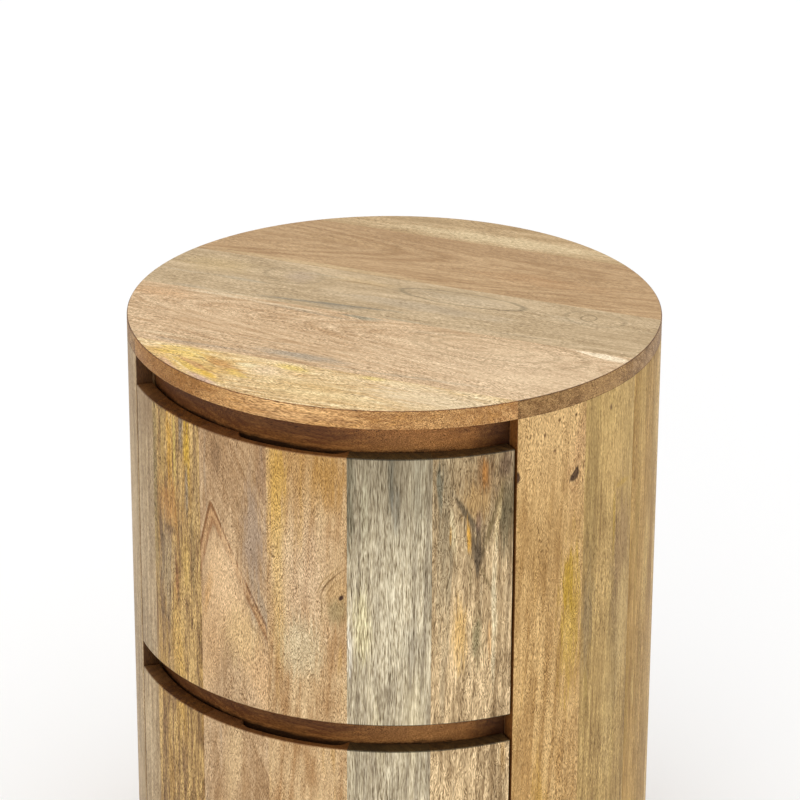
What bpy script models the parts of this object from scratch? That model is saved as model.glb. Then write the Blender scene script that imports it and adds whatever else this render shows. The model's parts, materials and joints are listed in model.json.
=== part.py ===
"""Round wooden nightstand with two curved drawers.

The drum is coopered: upright staves stand in a ring between a planked top and a round base.
The ring is open at the front, between two radial jambs, and two drawers with curved stave fronts
fill the opening. Each drawer is pulled by the finger gap above it, where a scoop is routed into the
back of its front, and runs on two telescopic metal slides carried by upright panels inside the drum.

Frame: metres, +Z up, origin on the floor at the drum's centre, front towards -Y, right side at +X.
Angles round the drum are measured from the front, positive towards the right side.
"""

import math

import bmesh
import bpy

MM = 0.001

# Drum
OUTER_RADIUS = 225 * MM
HEIGHT = 560 * MM
TOP_THICKNESS = 18 * MM
BASE_THICKNESS = 18 * MM
WALL_THICKNESS = 15 * MM
WALL_STAVES = 15
OPENING_HALF_ANGLE = math.radians(49)
BACK_PLANK_WIDTH = 55 * MM
FRONT_PLANK_WIDTH = 77 * MM
MIDDLE_PLANK_SHARES = (108, 90, 120)

# Drawer fronts
FRONT_THICKNESS = 14 * MM
FINGER_GAP = 23.5 * MM
FRONT_END_GAP = 2.5 * MM
FRONT_BASE_GAP = 2 * MM
FULL_FRONT_STAVES = 5
CUT_STAVE_SHARE = 0.54
SCOOP_WIDTH = 96 * MM
SCOOP_DEPTH = 8.5 * MM
SCOOP_HEIGHT = 20 * MM
SCOOP_END_LENGTH = 14 * MM

# Curved rails behind the finger gaps
RAIL_THICKNESS = 16 * MM
RAIL_SETBACK = 3 * MM
RAIL_STOP_LAP = 8 * MM
RAIL_UNDER_LAP = 4 * MM

# Inner panels and drawer boxes
PANEL_THICKNESS = 12 * MM
BOX_SIDE_THICKNESS = 12 * MM
BOX_BACK_THICKNESS = 12 * MM
BOX_BOTTOM_THICKNESS = 6 * MM
BOX_RAIL_CLEARANCE = 4 * MM
BOX_HEADROOM = 36 * MM
BOX_REAR_CLEARANCE = 15 * MM
GROOVE_DEPTH = 5 * MM
GROOVE_RISE = 8 * MM

# Telescopic slides
SLIDE_THICKNESS = 12.7 * MM
SLIDE_HEIGHT = 45 * MM
SLIDE_SHEET = 1.2 * MM
SLIDE_RUNNING_GAP = 0.4 * MM
SLIDE_MOUTH = 3.1 * MM
SLIDE_CABINET_LIP = 3.3 * MM
SLIDE_MIDDLE_LIP = 4.2 * MM
SLIDE_END_CLEARANCE = 4 * MM
SLIDE_SLOT_LENGTH = 9 * MM
SLIDE_SLOT_WIDTH = 4.6 * MM
SLIDE_SLOT_INSET = 32 * MM
SLIDE_SLOTS = 3

# Fits, eased edges and facets
SEAT_GAP = 0.3 * MM
GLUE_LINE = 0.2 * MM
EASED_EDGE = 1.2 * MM
EASED_SEGMENTS = 2
ARC_STEP = math.radians(2.5)
SCOOP_SECTION_POINTS = 20
SCOOP_END_STATIONS = 5
SCOOP_MIDDLE_STATIONS = 9
SCOOP_LAST_STATION = math.radians(80)
SLOT_END_POINTS = 7
CUTTER_MARGIN = 5 * MM
SMOOTH_ANGLE = math.radians(30)
SAME_PLACE = 0.01 * MM

# Heights that follow from the sizes above
WALL_LOW = BASE_THICKNESS + SEAT_GAP
WALL_HIGH = HEIGHT - TOP_THICKNESS - SEAT_GAP
FRONT_HEIGHT = (HEIGHT - TOP_THICKNESS - BASE_THICKNESS - FRONT_BASE_GAP) / 2 - FINGER_GAP
LOWER_FRONT_LOW = BASE_THICKNESS + FRONT_BASE_GAP
UPPER_FRONT_LOW = LOWER_FRONT_LOW + FRONT_HEIGHT + FINGER_GAP

# Radii and widths that follow from the sizes above
WALL_INNER_RADIUS = OUTER_RADIUS - WALL_THICKNESS
FRONT_INNER_RADIUS = OUTER_RADIUS - FRONT_THICKNESS
FRONT_HALF_ANGLE = OPENING_HALF_ANGLE - FRONT_END_GAP / OUTER_RADIUS
RAIL_OUTER_RADIUS = FRONT_INNER_RADIUS - RAIL_SETBACK
PANEL_INNER_X = WALL_INNER_RADIUS * math.sin(OPENING_HALF_ANGLE)
PANEL_END_RADIUS = WALL_INNER_RADIUS - SEAT_GAP
BOX_HALF_WIDTH = PANEL_INNER_X - SLIDE_THICKNESS - 2 * SEAT_GAP
BOX_INNER_X = BOX_HALF_WIDTH - BOX_SIDE_THICKNESS
BOTTOM_HALF_WIDTH = BOX_INNER_X + GROOVE_DEPTH - SEAT_GAP
BOX_FRONT_RADIUS = FRONT_INNER_RADIUS - SEAT_GAP
BOX_REAR_Y = math.sqrt((WALL_INNER_RADIUS - BOX_REAR_CLEARANCE) ** 2 - BOX_HALF_WIDTH ** 2)

# Drawer box heights above its front's lower edge
BOX_LOW = RAIL_UNDER_LAP + BOX_RAIL_CLEARANCE
BOX_HIGH = FRONT_HEIGHT - RAIL_STOP_LAP - BOX_HEADROOM
BOTTOM_LOW = BOX_LOW + GROOVE_RISE + SEAT_GAP
BOTTOM_HIGH = BOTTOM_LOW + BOX_BOTTOM_THICKNESS
SLIDE_CENTRE = (BOX_LOW + BOX_HIGH) / 2

# Slide ends
SLIDE_FRONT_Y = SLIDE_END_CLEARANCE - math.sqrt(PANEL_END_RADIUS ** 2 - PANEL_INNER_X ** 2)
SLIDE_REAR_Y = BOX_REAR_Y - SLIDE_END_CLEARANCE

# Wood and metal tones, linear
PALE = (0.52, 0.37, 0.21)
TAN = (0.40, 0.26, 0.14)
HONEY = (0.43, 0.26, 0.09)
GREY = (0.27, 0.22, 0.15)
OLIVE = (0.34, 0.25, 0.12)
BROWN = (0.24, 0.13, 0.06)
PLY = (0.50, 0.38, 0.24)
STEEL = (0.55, 0.56, 0.58)
TOP_TONES = (PALE, TAN, GREY, TAN, HONEY)
FRONT_TONES = (GREY, HONEY, TAN, HONEY, GREY, OLIVE)
WALL_TONES = (TAN, OLIVE, HONEY, GREY, PALE)
WOOD_ROUGHNESS = 0.6
STEEL_ROUGHNESS = 0.35


def clear_scene():
    """Take every object out of the open scene."""
    for item in list(bpy.data.objects):
        bpy.data.objects.remove(item, do_unlink=True)


def finish(name, colour, roughness=WOOD_ROUGHNESS, metallic=0.0):
    """Give one piece its own plain material."""
    material = bpy.data.materials.new(name)
    material.use_nodes = True
    shader = material.node_tree.nodes["Principled BSDF"]
    shader.inputs["Base Color"].default_value = (*colour, 1.0)
    shader.inputs["Roughness"].default_value = roughness
    shader.inputs["Metallic"].default_value = metallic
    return material


def add_guide(name, parent=None, location=(0, 0, 0)):
    """Add an empty that carries the pieces of one moving body."""
    guide = bpy.data.objects.new(name, None)
    guide.location = location
    guide.parent = parent
    bpy.context.scene.collection.objects.link(guide)
    return guide


def add_object(name, mesh, parent=None):
    """Turn a bmesh into a named object."""
    data = bpy.data.meshes.new(name)
    mesh.to_mesh(data)
    mesh.free()
    piece = bpy.data.objects.new(name, data)
    piece.parent = parent
    bpy.context.scene.collection.objects.link(piece)
    return piece


def add_piece(name, mesh, material, parent=None):
    """Add one sub-part, shaded smooth where it is round."""
    piece = add_object(name, mesh, parent)
    piece.data.materials.append(material)
    piece.data.shade_smooth()
    piece.data.set_sharp_from_angle(angle=SMOOTH_ANGLE)
    return piece


def add_cutter(name, mesh, parent):
    """Add a hidden shape that is cut out of other pieces."""
    cutter = add_object(name, mesh, parent)
    cutter.hide_render = True
    cutter.display_type = "WIRE"
    return cutter


def cut(piece, cutter):
    """Cut a hidden shape out of a piece."""
    modifier = piece.modifiers.new(cutter.name, "BOOLEAN")
    modifier.operation = "DIFFERENCE"
    modifier.solver = "EXACT"
    modifier.object = cutter


def on_arc(radius, angle):
    """The plan point at an angle from the front."""
    return (radius * math.sin(angle), -radius * math.cos(angle))


def arc(radius, start, end):
    """Plan points from one angle to another, on the same grid of angles all round the drum."""
    low, high = min(start, end), max(start, end)
    margin = ARC_STEP / 4
    first = math.ceil((low + margin) / ARC_STEP)
    last = math.floor((high - margin) / ARC_STEP)
    angles = [low] + [step * ARC_STEP for step in range(first, last + 1)] + [high]
    if start > end:
        angles.reverse()
    return [on_arc(radius, angle) for angle in angles]


def ring_outline(inner_radius, outer_radius, start, end):
    """Plan outline of a curved board with radial ends."""
    return arc(outer_radius, start, end) + arc(inner_radius, end, start)


def prism(points, shift, mesh=None):
    """Extrude a closed outline of 3D points along a vector, in a new mesh or beside what is in one."""
    mesh = mesh or bmesh.new()
    face = mesh.faces.new([mesh.verts.new(point) for point in points])
    grown = bmesh.ops.extrude_face_region(mesh, geom=[face])["geom"]
    moved = [item for item in grown if isinstance(item, bmesh.types.BMVert)]
    bmesh.ops.translate(mesh, vec=shift, verts=moved)
    bmesh.ops.recalc_face_normals(mesh, faces=mesh.faces)
    return mesh


def board(outline, low, high):
    """Extrude a plan outline between two heights."""
    return prism([(x, y, low) for x, y in outline], (0, 0, high - low))


def block(low, high):
    """A rectangular board between two corners."""
    outline = [(low[0], low[1]), (high[0], low[1]), (high[0], high[1]), (low[0], high[1])]
    return board(outline, low[2], high[2])


def ease(mesh, chosen):
    """Round over the edges for which the test holds."""
    edges = [edge for edge in mesh.edges if chosen(edge.verts[0].co, edge.verts[1].co)]
    bmesh.ops.bevel(mesh, geom=edges, offset=EASED_EDGE, offset_type="OFFSET",
                    segments=EASED_SEGMENTS, profile=0.5, affect="EDGES", clamp_overlap=True)
    return mesh


def is_level(one, two):
    """True for an edge at one height."""
    return abs(one.z - two.z) < SAME_PLACE


def at_radius(point, radius):
    """True for a point at a distance from the drum's axis."""
    return abs(math.hypot(point.x, point.y) - radius) < SAME_PLACE


def at_angle(point, angle):
    """True for a point on a radial plane."""
    x, y = on_arc(math.hypot(point.x, point.y), angle)
    return math.hypot(point.x - x, point.y - y) < SAME_PLACE


def is_rim(one, two):
    """True for a level edge on the drum's outside."""
    return is_level(one, two) and at_radius(one, OUTER_RADIUS) and at_radius(two, OUTER_RADIUS)


def top_plank_bounds():
    """Where the top's planks begin and end, from back to front: the middle ones share what is left."""
    back_joint = OUTER_RADIUS - BACK_PLANK_WIDTH
    front_joint = FRONT_PLANK_WIDTH - OUTER_RADIUS
    share_width = (back_joint - front_joint) / sum(MIDDLE_PLANK_SHARES)
    bounds = [OUTER_RADIUS, back_joint]
    for share in MIDDLE_PLANK_SHARES:
        bounds.append(bounds[-1] - share * share_width)
    return bounds + [-OUTER_RADIUS]


def build_top():
    """Five planks, side by side from back to front, cut to one circle."""
    bounds = top_plank_bounds()
    for index, (back, front) in enumerate(zip(bounds, bounds[1:]), start=1):
        back_edge = back if index == 1 else back - GLUE_LINE / 2
        front_edge = front if index == len(bounds) - 1 else front + GLUE_LINE / 2
        near = math.acos(-front_edge / OUTER_RADIUS)
        far = math.acos(-back_edge / OUTER_RADIUS)
        right = arc(OUTER_RADIUS, near, far)
        left = arc(OUTER_RADIUS, -far, -near)
        if index == 1:
            left = left[1:]
        if index == len(bounds) - 1:
            left = left[:-1]
        mesh = ease(board(right + left, HEIGHT - TOP_THICKNESS, HEIGHT), is_rim)
        name = f"top_plank_{index}"
        add_piece(name, mesh, finish(name, TOP_TONES[index - 1]))


def build_base():
    """The round base that the staves stand on."""
    outline = arc(OUTER_RADIUS, -math.pi, math.pi)[:-1]
    mesh = ease(board(outline, 0, BASE_THICKNESS), is_rim)
    add_piece("base_panel", mesh, finish("base_panel", TAN))


def is_jamb_corner(one, two):
    """True for the outer upright edge of a jamb."""
    outside = at_radius(one, OUTER_RADIUS) and at_radius(two, OUTER_RADIUS)
    jambs = (OPENING_HALF_ANGLE, -OPENING_HALF_ANGLE)
    return outside and any(at_angle(one, jamb) and at_angle(two, jamb) for jamb in jambs)


def build_wall():
    """The ring of staves from the right jamb round the back to the left jamb."""
    pitch = (2 * math.pi - 2 * OPENING_HALF_ANGLE) / WALL_STAVES
    half_line = GLUE_LINE / 2 / OUTER_RADIUS
    for index in range(WALL_STAVES):
        start = OPENING_HALF_ANGLE + index * pitch
        end = start + pitch
        first = index == 0
        last = index == WALL_STAVES - 1
        low = start if first else start + half_line
        high = end if last else end - half_line
        mesh = board(ring_outline(WALL_INNER_RADIUS, OUTER_RADIUS, low, high), WALL_LOW, WALL_HIGH)
        if first or last:
            ease(mesh, is_jamb_corner)
        name = f"wall_stave_{index + 1:02d}"
        add_piece(name, mesh, finish(name, WALL_TONES[index % len(WALL_TONES)]))


def build_side_panels():
    """Two upright panels behind the jambs, with their ends fitted to the curved wall."""
    near = math.asin(PANEL_INNER_X / PANEL_END_RADIUS)
    far = math.asin((PANEL_INNER_X + PANEL_THICKNESS) / PANEL_END_RADIUS)
    front_end = arc(PANEL_END_RADIUS, near, far)
    outline = front_end + [(x, -y) for x, y in reversed(front_end)]
    for name, side in (("left_side_panel", -1), ("right_side_panel", 1)):
        mesh = board([(side * x, y) for x, y in outline], WALL_LOW, WALL_HIGH)
        add_piece(name, mesh, finish(name, BROWN))


def build_rail(name, low, high):
    """A curved rail between the side panels, set back behind the drawer fronts."""
    end_x = PANEL_INNER_X - SEAT_GAP
    inner_radius = RAIL_OUTER_RADIUS - RAIL_THICKNESS
    outer_end = math.asin(end_x / RAIL_OUTER_RADIUS)
    inner_end = math.asin(end_x / inner_radius)
    outline = arc(RAIL_OUTER_RADIUS, -outer_end, outer_end) + arc(inner_radius, inner_end, -inner_end)
    add_piece(name, board(outline, low, high), finish(name, BROWN))


def build_rails():
    """The rail under the top and the rail between the drawers."""
    upper_front_high = UPPER_FRONT_LOW + FRONT_HEIGHT
    lower_front_high = LOWER_FRONT_LOW + FRONT_HEIGHT
    build_rail("top_rail", upper_front_high - RAIL_STOP_LAP, WALL_HIGH)
    build_rail("middle_rail", lower_front_high - RAIL_STOP_LAP, UPPER_FRONT_LOW + RAIL_UNDER_LAP)


def scoop_half_angle():
    """Half the angle that the finger scoop takes of the front's back."""
    return SCOOP_WIDTH / 2 / FRONT_INNER_RADIUS


def scoop_stations():
    """Angles along the finger scoop, each with the share of its full section there."""
    half = scoop_half_angle()
    end = SCOOP_END_LENGTH / FRONT_INNER_RADIUS
    full = half - end
    turns = [SCOOP_LAST_STATION * (1 - step / SCOOP_END_STATIONS) for step in range(SCOOP_END_STATIONS)]
    rising = [(-full - end * math.sin(turn), math.cos(turn)) for turn in turns]
    spread = range(SCOOP_MIDDLE_STATIONS)
    level = [(-full + 2 * full * step / (SCOOP_MIDDLE_STATIONS - 1), 1.0) for step in spread]
    falling = [(-angle, share) for angle, share in reversed(rising)]
    return rising + level + falling


def scoop_cutter():
    """The finger scoop: an oval section swept along the back of the top edge, with round ends."""
    mesh = bmesh.new()
    rings = []
    for angle, share in scoop_stations():
        ring = []
        for step in range(SCOOP_SECTION_POINTS):
            turn = 2 * math.pi * step / SCOOP_SECTION_POINTS
            radius = FRONT_INNER_RADIUS + SCOOP_DEPTH * share * math.cos(turn)
            x, y = on_arc(radius, angle)
            ring.append(mesh.verts.new((x, y, FRONT_HEIGHT + SCOOP_HEIGHT * share * math.sin(turn))))
        rings.append(ring)
    for one, two in zip(rings, rings[1:]):
        for step in range(SCOOP_SECTION_POINTS):
            after = (step + 1) % SCOOP_SECTION_POINTS
            mesh.faces.new((one[step], one[after], two[after], two[step]))
    mesh.faces.new(rings[0])
    mesh.faces.new(rings[-1])
    bmesh.ops.recalc_face_normals(mesh, faces=mesh.faces)
    return mesh


def front_stave_angles():
    """Start and end angle of each front stave, from left to right: one cut stave, then the full ones."""
    pitch = 2 * FRONT_HALF_ANGLE / (FULL_FRONT_STAVES + CUT_STAVE_SHARE)
    first_joint = -FRONT_HALF_ANGLE + CUT_STAVE_SHARE * pitch
    joints = [first_joint + index * pitch for index in range(FULL_FRONT_STAVES)]
    bounds = [-FRONT_HALF_ANGLE, *joints, FRONT_HALF_ANGLE]
    return list(zip(bounds, bounds[1:]))


def front_stave_mesh(start, end):
    """One curved stave of a front, eased along its top and bottom and at the front's own ends."""
    half_line = GLUE_LINE / 2 / OUTER_RADIUS
    low = start if start == -FRONT_HALF_ANGLE else start + half_line
    high = end if end == FRONT_HALF_ANGLE else end - half_line
    outline = ring_outline(FRONT_INNER_RADIUS, OUTER_RADIUS, low, high)

    def is_exposed(one, two):
        radii = (OUTER_RADIUS, FRONT_INNER_RADIUS)
        along = is_level(one, two) and any(at_radius(one, r) and at_radius(two, r) for r in radii)
        ends = (-FRONT_HALF_ANGLE, FRONT_HALF_ANGLE)
        return along or any(at_angle(one, a) and at_angle(two, a) for a in ends)

    return ease(board(outline, 0, FRONT_HEIGHT), is_exposed)


def bottom_groove_end():
    """The angle where the groove for the drawer's bottom stops in the back of the front."""
    return math.asin((BOTTOM_HALF_WIDTH + SEAT_GAP) / FRONT_INNER_RADIUS)


def bottom_groove_cutter():
    """The curved groove in the back of a front that takes the edge of the drawer's bottom."""
    end = bottom_groove_end()
    outline = ring_outline(FRONT_INNER_RADIUS - CUTTER_MARGIN, FRONT_INNER_RADIUS + GROOVE_DEPTH, -end, end)
    return board(outline, BOTTOM_LOW - SEAT_GAP, BOTTOM_HIGH + SEAT_GAP)


def build_drawer_front(name, drawer):
    """The curved front of one drawer, with its finger scoop and the groove for its bottom."""
    scoop = add_cutter(f"{name}_scoop_cutter", scoop_cutter(), drawer)
    groove = add_cutter(f"{name}_front_groove_cutter", bottom_groove_cutter(), drawer)
    cuts = ((scoop, scoop_half_angle()), (groove, bottom_groove_end()))
    for index, (start, end) in enumerate(front_stave_angles(), start=1):
        node = f"{name}_front_stave_{index}"
        material = finish(node, FRONT_TONES[(index - 1) % len(FRONT_TONES)])
        stave = add_piece(node, front_stave_mesh(start, end), material, drawer)
        for cutter, reach in cuts:
            if start < reach and end > -reach:
                cut(stave, cutter)


def build_drawer_box(name, drawer):
    """The sides, back and bottom of one drawer, behind its curved front."""
    near = math.asin(BOX_INNER_X / BOX_FRONT_RADIUS)
    far = math.asin(BOX_HALF_WIDTH / BOX_FRONT_RADIUS)
    rear_corners = [(BOX_HALF_WIDTH, BOX_REAR_Y), (BOX_INNER_X, BOX_REAR_Y)]
    side_outline = arc(BOX_FRONT_RADIUS, near, far) + rear_corners
    groove_x = BOX_INNER_X + GROOVE_DEPTH

    def is_top_length(one, two):
        at_top = abs(one.z - BOX_HIGH) < SAME_PLACE and abs(two.z - BOX_HIGH) < SAME_PLACE
        return at_top and abs(one.x - two.x) < SAME_PLACE

    for label, side in (("left", -1), ("right", 1)):
        mesh = ease(board([(side * x, y) for x, y in side_outline], BOX_LOW, BOX_HIGH), is_top_length)
        node = f"{name}_{label}_side"
        piece = add_piece(node, mesh, finish(node, TAN), drawer)
        edges_x = sorted((side * groove_x, side * (BOX_INNER_X - CUTTER_MARGIN)))
        groove = block((edges_x[0], -OUTER_RADIUS, BOTTOM_LOW - SEAT_GAP),
                       (edges_x[1], BOX_REAR_Y + CUTTER_MARGIN, BOTTOM_HIGH + SEAT_GAP))
        cut(piece, add_cutter(f"{node}_groove_cutter", groove, drawer))

    def is_back_top(one, two):
        at_top = abs(one.z - BOX_HIGH) < SAME_PLACE and abs(two.z - BOX_HIGH) < SAME_PLACE
        return at_top and abs(one.y - two.y) < SAME_PLACE

    back_x = BOX_INNER_X - SEAT_GAP
    back_y = BOX_REAR_Y - BOX_BACK_THICKNESS
    back = block((-back_x, back_y, BOTTOM_HIGH + SEAT_GAP), (back_x, BOX_REAR_Y, BOX_HIGH))
    add_piece(f"{name}_back", ease(back, is_back_top), finish(f"{name}_back", TAN), drawer)

    bottom_radius = FRONT_INNER_RADIUS + GROOVE_DEPTH - SEAT_GAP
    bottom_end = math.asin(BOTTOM_HALF_WIDTH / bottom_radius)
    rear_corners = [(BOTTOM_HALF_WIDTH, BOX_REAR_Y), (-BOTTOM_HALF_WIDTH, BOX_REAR_Y)]
    bottom = board(arc(bottom_radius, -bottom_end, bottom_end) + rear_corners, BOTTOM_LOW, BOTTOM_HIGH)
    add_piece(f"{name}_bottom", bottom, finish(f"{name}_bottom", PLY), drawer)


def channel_section(near, far, half_height, lip):
    """Section of a sheet channel with in-turned lips: distance from the panel, and height."""
    sheet = SLIDE_SHEET
    upper = [
        (near + sheet, half_height - sheet),
        (far - sheet, half_height - sheet),
        (far - sheet, half_height - lip),
        (far, half_height - lip),
        (far, half_height),
        (near, half_height),
    ]
    return upper + [(depth, -height) for depth, height in reversed(upper)]


def hat_section(foot_far, foot_half, flange_half):
    """Section of the drawer member: a web on the drawer, two flanges and two out-turned feet."""
    sheet = SLIDE_SHEET
    upper = [
        (SLIDE_THICKNESS - sheet, flange_half - sheet),
        (foot_far - sheet, flange_half - sheet),
        (foot_far - sheet, foot_half),
        (foot_far, foot_half),
        (foot_far, flange_half),
        (SLIDE_THICKNESS, flange_half),
    ]
    return upper + [(depth, -height) for depth, height in reversed(upper)]


def slide_sections():
    """Sections of the three members of a slide, each running inside the one before it."""
    step = SLIDE_SHEET + SLIDE_RUNNING_GAP
    half = SLIDE_HEIGHT / 2
    cabinet_far = SLIDE_THICKNESS - SLIDE_MOUTH
    middle_far = cabinet_far - step
    middle_half = half - step
    flange_half = middle_half - SLIDE_MIDDLE_LIP - SLIDE_RUNNING_GAP
    return {
        "cabinet": channel_section(0, cabinet_far, half, SLIDE_CABINET_LIP),
        "middle": channel_section(step, middle_far, middle_half, SLIDE_MIDDLE_LIP),
        "drawer": hat_section(middle_far - step, middle_half - step, flange_half),
    }


def slot_row_cutter(side):
    """A row of oblong screw slots, cut square through the members of one slide."""
    mesh = bmesh.new()
    first = SLIDE_FRONT_Y + SLIDE_SLOT_INSET
    pitch = (SLIDE_REAR_Y - SLIDE_SLOT_INSET - first) / (SLIDE_SLOTS - 1)
    radius = SLIDE_SLOT_WIDTH / 2
    straight = SLIDE_SLOT_LENGTH / 2 - radius
    turns = [math.pi * step / (SLOT_END_POINTS - 1) - math.pi / 2 for step in range(SLOT_END_POINTS)]
    rear_end = [(straight + radius * math.cos(turn), radius * math.sin(turn)) for turn in turns]
    outline = rear_end + [(-along, -up) for along, up in rear_end]
    near_x = side * (PANEL_INNER_X + CUTTER_MARGIN)
    through = side * (SLIDE_THICKNESS + 2 * CUTTER_MARGIN)
    for index in range(SLIDE_SLOTS):
        middle = first + index * pitch
        points = [(near_x, middle + along, SLIDE_CENTRE + up) for along, up in outline]
        prism(points, (-through, 0, 0), mesh)
    return mesh


def build_slides(level, low, drawer):
    """The left and right slide of one drawer, whose front's lower edge is at the height low."""
    middles = add_guide(f"{level}_slide_middles", location=(0, 0, low))
    fixed = add_guide(f"{level}_slide_cabinets", location=(0, 0, low))
    carriers = {"cabinet": fixed, "middle": middles, "drawer": drawer}
    face_x = PANEL_INNER_X - SEAT_GAP
    length = (0, SLIDE_REAR_Y - SLIDE_FRONT_Y, 0)
    for label, side in (("left", -1), ("right", 1)):
        slots = add_cutter(f"{level}_{label}_slot_cutter", slot_row_cutter(side), fixed)
        for member, section in slide_sections().items():
            points = [(side * (face_x - depth), SLIDE_FRONT_Y, SLIDE_CENTRE + up) for depth, up in section]
            node = f"{level}_{label}_slide_{member}"
            material = finish(node, STEEL, STEEL_ROUGHNESS, 1.0)
            piece = add_piece(node, prism(points, length), material, carriers[member])
            if member != "middle":
                cut(piece, slots)


def build_drawer(level, low):
    """One drawer with its slides, at the height of its front's lower edge."""
    drawer = add_guide(f"{level}_drawer_guide", location=(0, 0, low))
    build_drawer_front(f"{level}_drawer", drawer)
    build_drawer_box(f"{level}_drawer", drawer)
    build_slides(level, low, drawer)


def main():
    """Build the nightstand."""
    clear_scene()
    build_top()
    build_base()
    build_wall()
    build_side_panels()
    build_rails()
    build_drawer("upper", UPPER_FRONT_LOW)
    build_drawer("lower", LOWER_FRONT_LOW)


main()
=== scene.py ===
"""Looks of the round nightstand: smooth boards, timber and metal finishes, a white studio and the camera.

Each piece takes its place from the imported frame. A curved board reads its radii, angles and heights from
the node that it stands for, and straight boards and slides start as merged copies of their nodes.

Timber is drawn as solid wood. Board coordinates are millimetres: across the grain, depth below the face,
and along the grain. A stave's grain is upright, so along is the height above the floor. A plank's grain
runs from left to right, so along is the distance right of the middle.
"""

import json
import logging
import math
import random
from dataclasses import dataclass, field, fields, replace
from enum import Enum
from functools import cache

import bmesh
import bpy
from mathutils import Matrix, Vector


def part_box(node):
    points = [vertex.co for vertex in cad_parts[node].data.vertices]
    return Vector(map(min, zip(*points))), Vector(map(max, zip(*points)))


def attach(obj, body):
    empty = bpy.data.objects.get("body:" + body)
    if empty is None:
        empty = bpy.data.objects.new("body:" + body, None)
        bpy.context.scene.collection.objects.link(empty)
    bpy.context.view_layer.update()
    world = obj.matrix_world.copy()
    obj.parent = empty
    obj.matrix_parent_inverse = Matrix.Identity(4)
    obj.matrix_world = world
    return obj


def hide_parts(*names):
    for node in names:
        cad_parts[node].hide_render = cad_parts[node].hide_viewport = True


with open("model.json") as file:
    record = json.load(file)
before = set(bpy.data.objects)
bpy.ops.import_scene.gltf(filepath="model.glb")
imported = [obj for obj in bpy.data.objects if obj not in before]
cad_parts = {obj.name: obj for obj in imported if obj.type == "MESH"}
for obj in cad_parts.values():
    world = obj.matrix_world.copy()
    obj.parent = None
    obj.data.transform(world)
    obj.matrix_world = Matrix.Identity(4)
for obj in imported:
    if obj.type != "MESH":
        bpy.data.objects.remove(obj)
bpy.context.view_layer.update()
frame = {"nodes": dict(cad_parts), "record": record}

MM = 0.001
GLUE_LINE = 0.2 * MM
TOP_THICKNESS = 16 * MM
SEED_STEPS = (131.0, 57.0, 743.0)
BODY_OF_NODE = {
    node: body for body, nodes in frame["record"]["behaviour"]["bodies"].items() for node in nodes
}

log = logging.getLogger("nightstand")

Pair = tuple[float, float]
Triple = tuple[float, float, float]
Colour = tuple[float, float, float, float]
Labels = dict[str, tuple[str, ...]]
Material = bpy.types.Material
Node = bpy.types.Node
Piece = bpy.types.Object
Shape = bmesh.types.BMesh
Edge = bmesh.types.BMEdge
Socket = bpy.types.NodeSocket
Tree = bpy.types.NodeTree
Input = float | tuple[float, ...] | Socket | bpy.types.ID | str | bool


class Slot(Enum):
    """Material slots of the record."""

    TOP = "top_wood"
    WALL = "wall_wood"
    FRONT = "front_wood"
    INNER = "inner_wood"
    BOX = "box_wood"
    BOTTOM = "bottom_ply"
    STEEL = "slide_steel"


class Zone(Enum):
    """Which finish of a board a face takes: its long faces, its cut ends, or its rounded edges."""

    FACE = 0
    END = 1
    EDGE = 2


class MarkForm(Enum):
    """How a mark lies in the wood: filled in, or as a ring line only."""

    PATCH = "Patch"
    OUTLINE = "Outline"


def levels(code: str) -> list[int]:
    """Red, green and blue of a display colour code, each from 0 to 255."""
    return [int(code[start:start + 2], 16) for start in (1, 3, 5)]


def tone(code: str) -> Colour:
    """Turn a display colour code into a linear colour.

    Args:
        code: Six hexadecimal digits after a hash sign.

    Returns:
        Red, green, blue and full opacity.
    """
    shares = [level / 255 for level in levels(code)]
    linear = [s / 12.92 if s <= 0.04045 else ((s + 0.055) / 1.055) ** 2.4 for s in shares]
    return (*linear, 1.0)


def shade_code(code: str, kept: Triple) -> str:
    """The colour code of a shade, by how much of a code's red, green and blue is kept."""
    values = [min(255, round(level * share)) for level, share in zip(levels(code), kept)]
    return "#" + "".join(f"{value:02x}" for value in values)


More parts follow.
